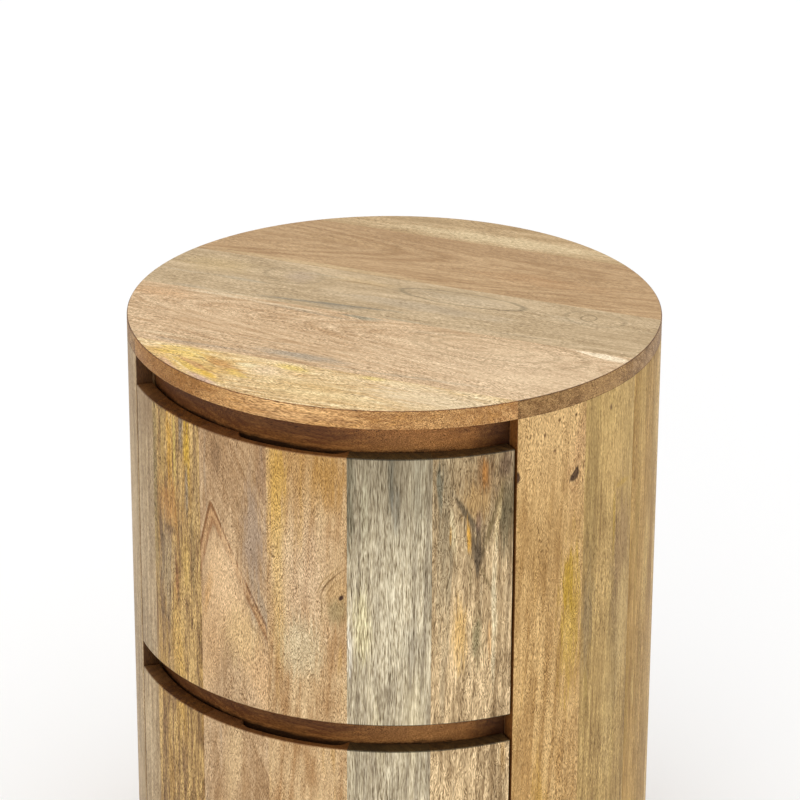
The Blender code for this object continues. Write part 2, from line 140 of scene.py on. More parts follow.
class Sketch:
    """Adds and links the nodes of one tree."""

    def __init__(self, tree: Tree) -> None:
        """Start on a tree."""
        self.tree = tree

    @classmethod
    def group(cls, name: str, kind: str, inputs: Labels, outputs: Labels) -> "Sketch":
        """Start a node group with named sockets.

        Args:
            name: Name of the group.
            kind: Type of its tree.
            inputs: Labels of its inputs, by sort of socket.
            outputs: Labels of its outputs, by sort of socket.

        Returns:
            A sketch of the new group.
        """
        sketch = cls(bpy.data.node_groups.new(name, kind))
        for side, sockets in (("INPUT", inputs), ("OUTPUT", outputs)):
            for sort, labels in sockets.items():
                for label in labels:
                    sketch.tree.interface.new_socket(label, in_out=side, socket_type=f"NodeSocket{sort}")
        sketch.source = sketch.tree.nodes.new("NodeGroupInput")
        sketch.sink = sketch.tree.nodes.new("NodeGroupOutput")
        return sketch

    @classmethod
    def material(cls, name: str, mapping: dict[str, Input]) -> tuple[Material, "Sketch", Socket]:
        """Start a material that reads Object coordinates.

        Args:
            name: Name of the material.
            mapping: Inputs of its Mapping node.

        Returns:
            The material, a sketch of its tree, and the mapped position.
        """
        material = bpy.data.materials.new(name)
        material.use_nodes = True
        material.node_tree.nodes.clear()
        sketch = cls(material.node_tree)
        place = sketch.add("ShaderNodeTexCoord").outputs["Object"]
        return material, sketch, sketch.add("ShaderNodeMapping", {"Vector": place, **mapping}).outputs[0]

    def surface(self, relief: dict[str, Input], looks: dict[str, Input]) -> None:
        """End a material with its shader.

        Args:
            relief: Inputs of the surface's bump.
            looks: The other inputs of the shader.
        """
        bump = self.add("ShaderNodeBump", relief)
        shader = self.add("ShaderNodeBsdfPrincipled", {"Normal": bump.outputs[0], **looks})
        self.add("ShaderNodeOutputMaterial", {"Surface": shader.outputs[0]})

    def given(self, label: str) -> Socket:
        """The group's input of that label."""
        return self.source.outputs[label]

    def give(self, label: str, value: Input) -> None:
        """Set the group's output of that label."""
        self.feed(self.sink.inputs[label], value)

    def feed(self, socket: Socket, value: Input) -> None:
        """Link a socket to another one, or set its value.

        Args:
            socket: The socket that is fed.
            value: Another socket, or a plain value.
        """
        if isinstance(value, Socket):
            self.tree.links.new(value, socket)
        else:
            socket.default_value = value

    def add(self, kind: str, inputs: dict[str | int, Input] | None = None, **settings: object) -> Node:
        """Add a node.

        Args:
            kind: Type of the node.
            inputs: What each input socket takes.
            settings: The node's own properties.

        Returns:
            The new node.
        """
        node = self.tree.nodes.new(kind)
        for key, value in settings.items():
            setattr(node, key, value)
        for key, value in (inputs or {}).items():
            self.feed(node.inputs[key], value)
        return node

    def math(self, operation: str, one: Input, two: Input = 0.0, three: Input = 0.0) -> Socket:
        """A sum on up to three numbers."""
        return self.add("ShaderNodeMath", {0: one, 1: two, 2: three}, operation=operation).outputs[0]

    def less(self, one: Input, two: Input) -> Socket:
        """A number less another one."""
        return self.math("SUBTRACT", one, two)

    def times(self, one: Input, two: Input, more: Input = 0.0) -> Socket:
        """A number times another one, and more added to it."""
        return self.math("MULTIPLY_ADD", one, two, more)

    def vector(self, operation: str, one: Input, two: Input = (0.0, 0.0, 0.0)) -> Socket:
        """A sum on two vectors."""
        return self.add("ShaderNodeVectorMath", {0: one, 1: two}, operation=operation).outputs[0]

    def split(self, vector: Input) -> tuple[Socket, ...]:
        """The three parts of a vector."""
        return tuple(self.add("ShaderNodeSeparateXYZ", {0: vector}).outputs)

    def join(self, x: Input, y: Input, z: Input) -> Socket:
        """A vector of three numbers."""
        return self.add("ShaderNodeCombineXYZ", {0: x, 1: y, 2: z}).outputs[0]

    def ramp(self, value: Input, low: Input, high: Input) -> Socket:
        """A smooth step from 0 at the low value to 1 at the high one."""
        limits = {"Value": value, "From Min": low, "From Max": high}
        return self.add("ShaderNodeMapRange", limits, interpolation_type="SMOOTHSTEP").outputs[0]

    def mix(self, share: Input, one: Input, two: Input, way: str = "MIX") -> Socket:
        """Blend a share of a second colour into a first one, in a way."""
        inputs = {0: share, 6: one, 7: two}
        return self.add("ShaderNodeMix", inputs, data_type="RGBA", blend_type=way).outputs[2]

    def noise(self, position: Input, cell: Triple, detail: float) -> Node:
        """Add cloud noise.

        Args:
            position: Place in the noise.
            cell: Box of one cloud, in the position's own units.
            detail: How many finer layers it has.

        Returns:
            The noise node.
        """
        steps = tuple(1 / length for length in cell)
        place = self.vector("MULTIPLY", position, steps)
        return self.add("ShaderNodeTexNoise", {"Vector": place, "Scale": 1.0, "Detail": detail})

    def cloud(self, position: Input, cell: Triple, detail: float) -> Socket:
        """Cloud noise as a number, around one half."""
        return self.noise(position, cell, detail).outputs["Fac"]

    def shift(self, position: Input, cell: Triple, detail: float) -> Socket:
        """Cloud noise as a shift to any side, around nothing."""
        return self.vector("SUBTRACT", self.noise(position, cell, detail).outputs["Color"], (0.5, 0.5, 0.5))


def seeded(sketch: Sketch) -> Socket:
    """The group's position, moved far off by its seed, so that no two boards share their noise."""
    steps = [sketch.times(sketch.given("Seed"), step) for step in SEED_STEPS]
    return sketch.vector("ADD", sketch.given("Position"), sketch.join(*steps))


@cache
def timber_ground_tree() -> Tree:
    """Ground colour of solid timber: growth rings, streaks along the grain, and soft mottle.

    Returns:
        The group. It also gives the position as the grain sways there, and the distance from the apex ring.
    """
    sketch = Sketch.group("timber_ground", "ShaderNodeTree", {
        "Vector": ("Position",), "Color": ("Light", "Dark", "Streak"),
        "Float": ("Seed", "Streak Share", "Pith Across", "Pith Depth", "Apex", "Taper", "Drift",
                  "Ring Width", "Contrast", "Wander", "Broad", "Mottle"),
    }, {"Color": ("Color",), "Vector": ("Position",), "Float": ("Ring",)})
    sway_cell, shiver_cell, shiver_share = (46.0, 46.0, 190.0), (9.0, 9.0, 46.0), 0.2
    fine_cell, broad_cell, mottle_cell = (2.2, 2.2, 22.0), (7.0, 7.0, 95.0), (19.0, 19.0, 50.0)
    palest, darkest = 0.05, 0.95
    streak_rarest, streak_gain, streak_blur, streak_strength = 0.74, -0.45, 0.16, 0.75
    given, far = sketch.given, seeded(sketch)

    wander = given("Wander")
    little = sketch.times(wander, shiver_share)
    sway = sketch.vector("MULTIPLY", sketch.shift(far, sway_cell, 2.0), sketch.join(wander, wander, 0.0))
    shiver = sketch.vector("MULTIPLY", sketch.shift(far, shiver_cell, 2.0), sketch.join(little, little, 0.0))
    bent, bent_far = (
        sketch.vector("ADD", sketch.vector("ADD", place, sway), shiver)
        for place in (given("Position"), far))

    across, depth, along = sketch.split(bent)
    past_apex = sketch.less(along, given("Apex"))
    side = sketch.times(past_apex, given("Drift"), sketch.less(across, given("Pith Across")))
    below = sketch.less(given("Pith Depth"), depth)
    square = sketch.times(side, side, sketch.times(below, below))
    radius = sketch.less(sketch.math("SQRT", square), given("Pith Depth"))
    ring = sketch.times(past_apex, given("Taper"), radius)
    turn = sketch.math("ADD", sketch.math("DIVIDE", ring, given("Ring Width")), given("Seed"))
    rings = sketch.add("ShaderNodeTexNoise", {"W": turn, "Scale": 1.0, "Detail": 2.0},
                       noise_dimensions="1D").outputs["Fac"]

    fine = sketch.cloud(bent_far, fine_cell, 3.0)
    broad = sketch.split(sketch.noise(bent_far, broad_cell, 2.0).outputs["Color"])
    mottle = sketch.cloud(bent_far, mottle_cell, 2.0)
    shade: Input = 0.5
    for share, label in ((rings, "Contrast"), (fine, "Broad"), (broad[0], "Broad"), (mottle, "Mottle")):
        shade = sketch.times(sketch.less(share, 0.5), given(label), shade)
    colour = sketch.mix(sketch.ramp(shade, palest, darkest), given("Light"), given("Dark"))

    edge = sketch.times(given("Streak Share"), streak_gain, streak_rarest)
    streak = sketch.ramp(broad[1], edge, sketch.math("ADD", edge, streak_blur))
    sketch.give("Color", sketch.mix(sketch.times(streak, streak_strength), colour, given("Streak")))
    sketch.give("Position", bent)
    sketch.give("Ring", ring)
    return sketch.tree


@cache
def timber_mark_tree() -> Tree:
    """Share of one mark at each point: a leaning oval with a ragged edge, filled in or as a line.

    Returns:
        The group.
    """
    sketch = Sketch.group("timber_mark", "ShaderNodeTree", {
        "Vector": ("Position",),
        "Float": ("Seed", "Across", "Along", "Half Width", "Half Length", "Strength", "Lean", "Bow", "Point",
                  "Softness", "Ragged"),
    }, {"Float": ("Patch", "Outline")})
    fray_cell, fray_reach, narrowest = (2.0, 2.0, 24.0), 2.4, 0.12
    full, blur = 1.02, 0.45
    given = sketch.given

    across, _, along = sketch.split(given("Position"))
    up = sketch.less(along, given("Along"))
    long = sketch.math("DIVIDE", up, given("Half Length"))
    long_square = sketch.times(long, long)
    middle = sketch.times(long_square, given("Bow"), sketch.times(up, given("Lean"), given("Across")))
    waist = sketch.math("MAXIMUM", sketch.times(long, given("Point"), 1.0), narrowest)
    wide = sketch.math("DIVIDE", sketch.less(across, middle), sketch.times(waist, given("Half Width")))
    reach = sketch.math("SQRT", sketch.times(wide, wide, long_square))
    fray = sketch.less(sketch.cloud(seeded(sketch), fray_cell, 3.0), 0.5)
    reach = sketch.times(sketch.times(fray, given("Ragged")), fray_reach, reach)

    softness = given("Softness")
    off_patch = sketch.ramp(reach, sketch.less(1.0, softness), sketch.times(softness, blur, full))
    off_line = sketch.ramp(sketch.math("ABSOLUTE", sketch.less(reach, 1.0)), 0.0, softness)
    for form, off in ((MarkForm.PATCH, off_patch), (MarkForm.OUTLINE, off_line)):
        sketch.give(form.value, sketch.times(sketch.less(1.0, off), given("Strength")))
    return sketch.tree


@cache
def timber_grain_tree() -> Tree:
    """Fine grain over a board's colour: short ticks, long lines and open pores.

    Returns:
        The group. It gives the colour, its roughness, and its height for the bump.
    """
    sketch = Sketch.group("timber_grain", "ShaderNodeTree", {
        "Vector": ("Position",), "Color": ("Color",),
        "Float": ("Seed", "Tick", "Tick Length", "Line", "Flow", "Pores"),
    }, {"Color": ("Color",), "Float": ("Roughness", "Height")})
    wave_cell, line_cell, pore_cell = (13.0, 13.0, 26.0), (0.7, 0.7, 32.0), (0.55, 0.55, 3.0)
    crowd_cell, busy_cell = (24.0, 24.0, 60.0), (38.0, 38.0, 120.0)
    ticks_across, pore_shade, darkest, even, palest = 2.3, -0.45, 0.28, 1.04, 1.6
    cloud_limits, pore_limits = (0.3, 0.7), (0.53, 0.66)
    crowd_span, crowd_least, busy_span, busy_least = 0.6, 0.4, 0.7, 0.65
    green_power, blue_power, relief = 1.12, 1.3, 0.5
    rough_gain, roughest = -0.14, 0.68
    given, still = sketch.given, seeded(sketch)

    flow = sketch.join(given("Flow"), given("Flow"), 0.0)
    far = sketch.vector("ADD", still, sketch.vector("MULTIPLY", sketch.shift(still, wave_cell, 1.5), flow))
    ticks = sketch.join(ticks_across, ticks_across, sketch.math("DIVIDE", 1.0, given("Tick Length")))
    tick = sketch.add("ShaderNodeTexNoise", {
        "Vector": sketch.vector("MULTIPLY", far, ticks), "Scale": 1.0, "Detail": 1.0, "Roughness": 0.6,
    }).outputs["Fac"]
    line = sketch.cloud(far, line_cell, 2.5)
    crowd = sketch.ramp(sketch.cloud(far, crowd_cell, 2.0), *cloud_limits)
    crowd = sketch.times(crowd, crowd_span, crowd_least)
    busy = sketch.ramp(sketch.cloud(far, busy_cell, 1.0), *cloud_limits)
    busy = sketch.times(busy, busy_span, busy_least)
    pore = sketch.ramp(sketch.cloud(far, pore_cell, 1.0), *pore_limits)
    pore = sketch.times(sketch.times(crowd, pore), given("Pores"))

    shade = sketch.times(sketch.times(sketch.less(tick, 0.5), busy), given("Tick"), even)
    shade = sketch.times(sketch.less(line, 0.5), given("Line"), shade)
    shade = sketch.times(pore, pore_shade, shade)
    shade = sketch.math("MINIMUM", sketch.math("MAXIMUM", shade, darkest), palest)
    tint = sketch.add("ShaderNodeCombineColor", {
        0: shade, 1: sketch.math("POWER", shade, green_power), 2: sketch.math("POWER", shade, blue_power)})
    sketch.give("Color", sketch.mix(1.0, given("Color"), tint.outputs[0], "MULTIPLY"))
    sketch.give("Roughness", sketch.times(shade, rough_gain, roughest))
    sketch.give("Height", sketch.less(sketch.times(shade, relief), pore))
    return sketch.tree


@dataclass(frozen=True)
class BoardLay:
    """How a board lies in the object: its directions across and along the grain, and a point on its face."""

    across: Triple
    along: Triple
    origin: Triple

    @classmethod
    def upright(cls, angle: float, radius: float) -> "BoardLay":
        """A stave with its grain upright, at an angle from the front and a radius from the axis."""
        side = (math.cos(angle), math.sin(angle), 0.0)
        return cls(side, (0.0, 0.0, 1.0), (radius * math.sin(angle), -radius * math.cos(angle), 0.0))

    @classmethod
    def flat(cls, middle: float, face: float) -> "BoardLay":
        """A plank with its grain from left to right, its middle line and its upper face."""
        return cls((0.0, -1.0, 0.0), (1.0, 0.0, 0.0), (0.0, middle, face))

    @classmethod
    def level(cls, face: float, height: float) -> "BoardLay":
        """A rail or back with its grain from left to right, and its face towards the front."""
        return cls((0.0, 0.0, -1.0), (1.0, 0.0, 0.0), (0.0, face, height))

    @classmethod
    def sideways(cls, face: float, height: float) -> "BoardLay":
        """A drawer side with its grain from front to back, and its face at a distance from the middle."""
        return cls((0.0, 0.0, 1.0), (0.0, 1.0, 0.0), (face, 0.0, height))

    def mapping(self) -> dict[str, Input]:
        """Inputs of the Mapping node that turns Object coordinates into board millimetres.

        Returns:
            Its rotation, location and scale.
        """
        across, along = Vector(self.across), Vector(self.along)
        turn = Matrix((across, along.cross(across), along))
        shift = turn @ Vector(self.origin) / -MM
        return {"Rotation": tuple(turn.to_euler()), "Location": tuple(shift), "Scale": (1 / MM,) * 3}


def numbers(holder: object) -> dict[str, float]:
    """The number fields of a dataclass, each under the label of the socket that takes it."""
    return {item.name.replace("_", " ").title(): getattr(holder, item.name)
            for item in fields(holder) if item.type is float}


@dataclass(frozen=True)
class Figure:
    """How the growth rings and the grain run through a board. Lengths are board millimetres.

    Tick, line, broad and mottle say how strongly short ticks, long lines, broad streaks and soft clouds
    show, and flow how far ticks and lines weave from side to side.
    """

    pith_across: float = 90.0
    pith_depth: float = 60.0
    apex: float = 0.0
    taper: float = 0.02
    drift: float = 0.0
    ring_width: float = 4.0
    contrast: float = 0.9
    wander: float = 9.0
    tick: float = 3.0
    tick_length: float = 3.4
    flow: float = 4.0
    line: float = 1.0
    broad: float = 1.3
    mottle: float = 0.9


@dataclass(frozen=True)
class Mark:
    """A stain, streak, pit or knot in a board's face, or a patch of painted shade or painted light, in board
    millimetres.

    Lean is the shift across for each millimetre along, and bow is the shift across at both ends. Point
    is how much wider the mark is at its far end than at its middle.
    """

    across: float
    along: float
    half_width: float
    half_length: float
    colour: str
    strength: float = 0.6
    lean: float = 0.0
    bow: float = 0.0
    point: float = 0.0
    softness: float = 0.7
    ragged: float = 0.8
    form: MarkForm = MarkForm.PATCH


@dataclass(frozen=True)
class RingBand:
    """A coloured growth ring, by its distance from the ring through the figure's apex."""

    offset: float
    half_width: float
    colour: str
    strength: float


def scattered(seed: int, colours: tuple[str, ...], count: int, high: float = 530.0) -> tuple[Mark, ...]:
    """Streaks strewn over a stave, from near its foot up.

    Args:
        seed: Seed of the strewing.
        colours: Colours to draw from.
        count: How many streaks.
        high: Highest height.

    Returns:
        The streaks, in the order in which they are laid.
    """
    dice = random.Random(seed)
    low, farthest, steepest = 30.0, 30.0, 0.08
    widths, stretches, strengths = (2.5, 10.0), (4.0, 9.0), (0.3, 0.65)
    marks = []
    for _ in range(count):
        half_width = dice.uniform(*widths)
        marks.append(Mark(
            dice.uniform(-farthest, farthest), dice.uniform(low, high), half_width,
            half_width * dice.uniform(*stretches), dice.choice(colours), dice.uniform(*strengths),
            lean=dice.uniform(-steepest, steepest)))
    return tuple(marks)


def tinge(along: float, half_length: float, colour: str, strength: float) -> Mark:
    """A soft tinge over the full width of a rim or rail: a tone of the wood on the rims, painted shade and
    painted light on the rail.
    """
    return Mark(0, along, 60, half_length, colour, strength, softness=0.9, ragged=0.4)


def knot(across: float, along: float, size: float) -> tuple[Mark, ...]:
    """A small knot: grain bent round it on both sides, a rubbed halo, and a dark core.

    Args:
        across: Place across the board.
        along: Place along the board.
        size: Half the width of the core.

    Returns:
        Its marks, in the order in which they are laid.
    """
    bend_reaches, bend_width, bend_length, bend_bow = (1.9, 2.9), 0.22, 5.0, -0.7
    halo_width, halo_length, core_length = 1.9, 3.2, 1.4
    bends = tuple(
        Mark(across + side * reach * size, along, bend_width * size, bend_length * size, "#7a5832", 0.6,
             bow=bend_bow * side * reach * size, ragged=0.3)
        for reach in bend_reaches for side in (-1.0, 1.0))
    return bends + (
        Mark(across, along, halo_width * size, halo_length * size, "#94703f", 0.6, ragged=0.5),
        Mark(across, along, size, core_length * size, "#402716", 0.95, lean=0.2, softness=0.4, ragged=0.2),
    )


@dataclass(frozen=True)
class Timber:
    """Finish of one board: oiled hardwood with its own colours, rings, marks and pores; some marks, and its
    darker ends and edges, carry painted shade and painted light.
    """

    light: str
    dark: str
    streak: str
    seed: float
    streak_share: float = 0.35
    figure: Figure = Figure()
    marks: tuple[Mark, ...] = ()
    bands: tuple[RingBand, ...] = ()
    pores: float = 0.4
    shine: float = 0.2
    # End shares darken the cut ends: the real darker end grain, and painted shade on the ends that sit in
    # the finger gap and the drawer opening.
    end_shares: Triple = (0.58, 0.44, 0.28)
    # Edge shares darken the rounded edges: partly wear, partly a painted shadow line along them.
    edge_shares: Triple = (0.8, 0.74, 0.64)
    worn_pores: float = 0.3
    worn_shine: float = 0.4
    relief: float = 0.35
    relief_depth: float = 0.25 * MM

    def material(self, name: str, lay: BoardLay) -> Material:
        """Make the board's material.

        Args:
            name: Name of the material.
            lay: How the board lies in the object.

        Returns:
            The new material.
        """
        material, sketch, position = Sketch.material(name, lay.mapping())
        ground = self.add_group(sketch, timber_ground_tree(), {
            "Position": position, "Light": tone(self.light), "Dark": tone(self.dark),
            "Streak": tone(self.streak)})
        bent = ground.outputs["Position"]
        colour = self.banded(sketch, ground.outputs["Color"], ground.outputs["Ring"])
        colour = self.marked(sketch, colour, bent)
        grain = self.add_group(sketch, timber_grain_tree(), {"Position": bent, "Color": colour})
        sketch.surface(
            {"Height": grain.outputs["Height"], "Strength": self.relief, "Distance": self.relief_depth},
            {"Base Color": grain.outputs["Color"], "Roughness": grain.outputs["Roughness"],
             "Specular IOR Level": self.shine})
        return material

    def end_grain(self) -> "Timber":
        """The finish of this board's cut ends, which take in more oil and carry painted shade, without the
        marks of its face.
        """
        return replace(self.shaded(self.end_shares), marks=(), bands=())

    def worn_edge(self) -> "Timber":
        """The finish of this board's rounded edges, rubbed smoother by hands, and darker partly from wear
        and partly as a painted shadow line.
        """
        worn = self.shaded(self.edge_shares)
        return replace(worn, pores=self.worn_pores * self.pores, shine=self.worn_shine)

    def shaded(self, kept: Triple) -> "Timber":
        """This finish in another shade, marks and all.

        Args:
            kept: How much of each colour's red, green and blue is kept.

        Returns:
            The shaded finish.
        """
        codes = {part: shade_code(getattr(self, part), kept) for part in ("light", "dark", "streak")}
        marks, bands = (
            tuple(replace(item, colour=shade_code(item.colour, kept)) for item in items)
            for items in (self.marks, self.bands))
        return replace(self, **codes, marks=marks, bands=bands)

    def add_group(self, sketch: Sketch, tree: Tree, inputs: dict[str, Input]) -> Node:
        """Add a timber group, fed with this board's own numbers.

        Args:
            sketch: Sketch of the material.
            tree: The group's tree.
            inputs: What each other input takes.

        Returns:
            The group's node.
        """
        node = sketch.add("ShaderNodeGroup", node_tree=tree)
        values = {**numbers(self), **numbers(self.figure), **inputs}
        for socket in node.inputs:
            sketch.feed(socket, values[socket.name])
        return node

    def banded(self, sketch: Sketch, colour: Input, ring: Input) -> Input:
        """Lay the board's coloured growth rings over its ground colour.

        Args:
            sketch: Sketch of the material.
            colour: The ground colour.
            ring: Distance from the ring through the figure's apex.

        Returns:
            The colour with the rings.
        """
        core = 0.3
        for band in self.bands:
            off = sketch.math("ABSOLUTE", sketch.less(ring, band.offset))
            share = sketch.less(1.0, sketch.ramp(off, core * band.half_width, band.half_width))
            colour = sketch.mix(sketch.times(share, band.strength), colour, tone(band.colour))
        return colour

    def marked(self, sketch: Sketch, colour: Input, position: Input) -> Input:
        """Lay the board's marks over its colour, in their order.

        Args:
            sketch: Sketch of the material.
            colour: The colour below them.
            position: Place in the board, as the grain sways there.

        Returns:
            The colour with the marks.
        """
        for mark in self.marks:
            group = self.add_group(sketch, timber_mark_tree(), {"Position": position, **numbers(mark)})
            colour = sketch.mix(group.outputs[mark.form.value], colour, tone(mark.colour))
        return colour


STRAIGHT = Figure()
WAVY = Figure(pith_across=40.0, pith_depth=30.0, taper=0.06, ring_width=5.0, wander=14.0)
CATHEDRAL = Figure(pith_across=-6.0, pith_depth=22.0, apex=430.0, taper=0.2, ring_width=4.5, contrast=1.4)
TICKED = Figure(pith_across=40.0, pith_depth=30.0, taper=0.06, ring_width=5.0, wander=6.0,
                tick_length=2.8, flow=11.0, line=0.4, broad=0.6, mottle=1.1)
PLANK = Figure(pith_across=-30.0, pith_depth=45.0, taper=0.05, ring_width=4.0, contrast=0.6, wander=8.0,
               tick=1.8, line=0.6, broad=0.8, mottle=0.6)

# Darker end and edge shares of the two right front staves: painted shade on their ends and rounded edges,
# for their top edges in the finger gap.
DARK_END = (0.38, 0.31, 0.2)
DARK_EDGE = (0.52, 0.5, 0.42)

GREY_BEIGE = Timber(
    "#b99f79", "#8f7655", "#ab926c", 1.3, figure=replace(STRAIGHT, tick=2.1),
    marks=(
        # Painted shade: darker towards the top edge, below the finger gap.
        Mark(0, 525, 40, 60, "#85694a", 0.5, softness=0.95, ragged=0.3),
        Mark(-6, 448, 2, 3, "#7d6248", 0.7),
        Mark(-11, 343, 2, 3, "#7d6248", 0.6),
        Mark(0, 375, 40, 62, "#b9a17e", 0.3, softness=0.9, ragged=0.3),
        *scattered(11, ("#a58d6c", "#c4ad8a", "#95805f"), 3, 300.0),
    ),
)
GOLDEN_STREAKED = Timber(
    "#c09c61", "#7b5b36", "#a27c42", 2.7, 0.5, replace(STRAIGHT, tick=3.8, line=1.8, broad=2.0),
    marks=(
        Mark(-30, 450, 5, 110, "#867447", 0.6),
        Mark(-16, 480, 6, 60, "#b59454", 0.5),
        Mark(-5.5, 490, 4, 44, "#bb8b30", 0.75, ragged=1.2),
        Mark(1.8, 490, 2.2, 40, "#c4a654", 0.6),
        Mark(6, 472, 1, 26, "#6c512d", 0.65),
        Mark(11, 506, 3.2, 22, "#84735f", 0.8),
        Mark(18, 499, 4.5, 23, "#bf9630", 0.8, softness=0.6, ragged=1.2),
        Mark(20.6, 472, 2, 24, "#b68d30", 0.7),
        Mark(18, 458, 2.6, 22, "#837663", 0.65),
        Mark(30, 470, 4, 70, "#a6895c", 0.5),
        Mark(-9, 432, 15, 27, "#ab7434", 0.6, ragged=1.3),
        Mark(-13, 376, 13, 50, "#9d8a6c", 0.6, ragged=1.1),
        Mark(-19, 396, 4, 32, "#624a31", 0.7, lean=-0.12, ragged=1.5),
        Mark(-8, 413, 12, 5, "#6b5034", 0.6, ragged=1.2),
        Mark(2, 366, 3, 28, "#7f4a27", 0.65, ragged=1.3),
        Mark(15, 388, 6, 28, "#bf9b52", 0.5),
        Mark(25, 400, 3, 40, "#866f48", 0.5),
        Mark(-20, 338, 5, 18, "#5f422a", 0.6, ragged=1.3),
        *scattered(12, ("#8a6a44", "#c79c4a", "#7a6148", "#b5803f"), 6, 300.0),
    ),
)
ARCHED = Timber(
    "#c4a47c", "#97754f", "#a38f76", 3.1, 0.3,
    replace(TICKED, pith_across=-21.0, pith_depth=3.0, apex=451.0, taper=0.418, drift=0.142, ring_width=5.0,
            contrast=0.7, wander=2.5, tick=3.5, tick_length=3.0, flow=10.0),
    marks=(
        # Painted shade: darker towards the top edge, below the finger gap.
        Mark(0, 520, 50, 52, "#957049", 0.45, softness=0.95, ragged=0.4),
        Mark(-15.7, 497, 6, 17, "#7e5f40", 0.65),
        Mark(30, 492, 5, 34, "#947353", 0.55),
        Mark(21, 432, 11, 50, "#978574", 0.6),
        Mark(30, 375, 4, 30, "#91806b", 0.55, lean=-0.3),
        Mark(-8, 390, 22, 40, "#d9b78b", 0.65),
        Mark(10, 345, 18, 30, "#cdae78", 0.45),
        Mark(-27, 372, 4, 26, "#b38446", 0.5, lean=0.2),
        *scattered(13, ("#a8845a", "#cdae80", "#96826a"), 5, 290.0),
    ),
    bands=(
        RingBand(-30, 25, "#d2aa79", 0.55),
        RingBand(-3, 3.4, "#b08353", 0.65),
        RingBand(4.6, 1.4, "#a5815d", 0.4),
        RingBand(0, 1.8, "#7b5029", 0.9),
        RingBand(-5.9, 2, "#8c6038", 0.75),
    ),
)
GOLDEN_KNOTTED = Timber(
    "#cbac80", "#a27b4f", "#bd965b", 4.9, 0.35, replace(TICKED, contrast=0.7),
    marks=(
        # Painted shade: darker towards the top edge, below the finger gap.
        Mark(2, 515, 46, 56, "#a27638", 0.6, softness=0.95, ragged=0.5),
        Mark(-25, 486, 9, 48, "#c0953f", 0.6),
        Mark(-25, 440, 6, 44, "#c9a257", 0.5),
        Mark(-24, 380, 6, 70, "#c29c56", 0.5),
        Mark(18, 499, 14, 28, "#a97d3a", 0.55),
        Mark(0, 405, 26, 62, "#d0b38f", 0.55, softness=0.9),
        Mark(26, 398, 11, 24, "#b18d5b", 0.6),
        Mark(26, 382, 9, 13, "#8d7d56", 0.6, ragged=0.6),
        Mark(14.2, 384, 0.8, 14, "#8a6c3c", 0.6, ragged=0.3),
        Mark(18.8, 407, 1.1, 15, "#70502a", 0.85, lean=0.7, bow=4.9, ragged=0.3),
        Mark(22, 404, 0.8, 12, "#8a693c", 0.6, lean=0.66, bow=4, ragged=0.3),
        Mark(15.8, 409, 0.8, 15, "#94733f", 0.55, lean=0.7, bow=4.9, ragged=0.3),
        Mark(29.5, 395, 1.9, 2.6, "#3a2113", 0.97, lean=0.3, softness=0.4, ragged=0.2),
        Mark(-5, 345, 20, 30, "#c5b48f", 0.6),
        *scattered(14, ("#c3924f", "#d8ba8c", "#a98656"), 5, 290.0),
    ),
)
GREY_OLIVE = Timber(
    "#cdbd9c", "#8f8068", "#a5967b", 5.6, 0.3,
    replace(STRAIGHT, wander=6.0, tick=2.8, tick_length=8.5, flow=1.5, line=2.2, broad=0.6),
    marks=(
        # Painted shade: darker towards the top edge, below the finger gap.
        Mark(0, 525, 60, 95, "#73664e", 0.74, softness=0.95, ragged=0.3),
        Mark(-32, 485, 5, 62, "#5a533e", 0.7),
        Mark(-19, 473, 4, 40, "#b3a889", 0.55),
        Mark(8, 446, 24, 28, "#c9bb9c", 0.45, softness=0.9, ragged=0.6),
        Mark(1.7, 502, 3.2, 28, "#5d5849", 0.7),
        Mark(5, 476, 4, 22, "#6c6658", 0.55),
        Mark(23, 497, 6, 42, "#a59a80", 0.5),
        Mark(-21, 370, 8, 36, "#d9ca9b", 0.7),
        Mark(-32, 348, 3, 22, "#d5cbba", 0.6),
        Mark(2, 372, 16, 50, "#d2c4a5", 0.45),
        Mark(18, 356, 10, 24, "#a59880", 0.5),
        Mark(34, 402, 0.9, 44, "#524d3d", 0.6),
        *scattered(15, ("#8f8268", "#d2c19a", "#a59774"), 5, 290.0),
    ),
    end_shares=DARK_END, edge_shares=DARK_EDGE,
)
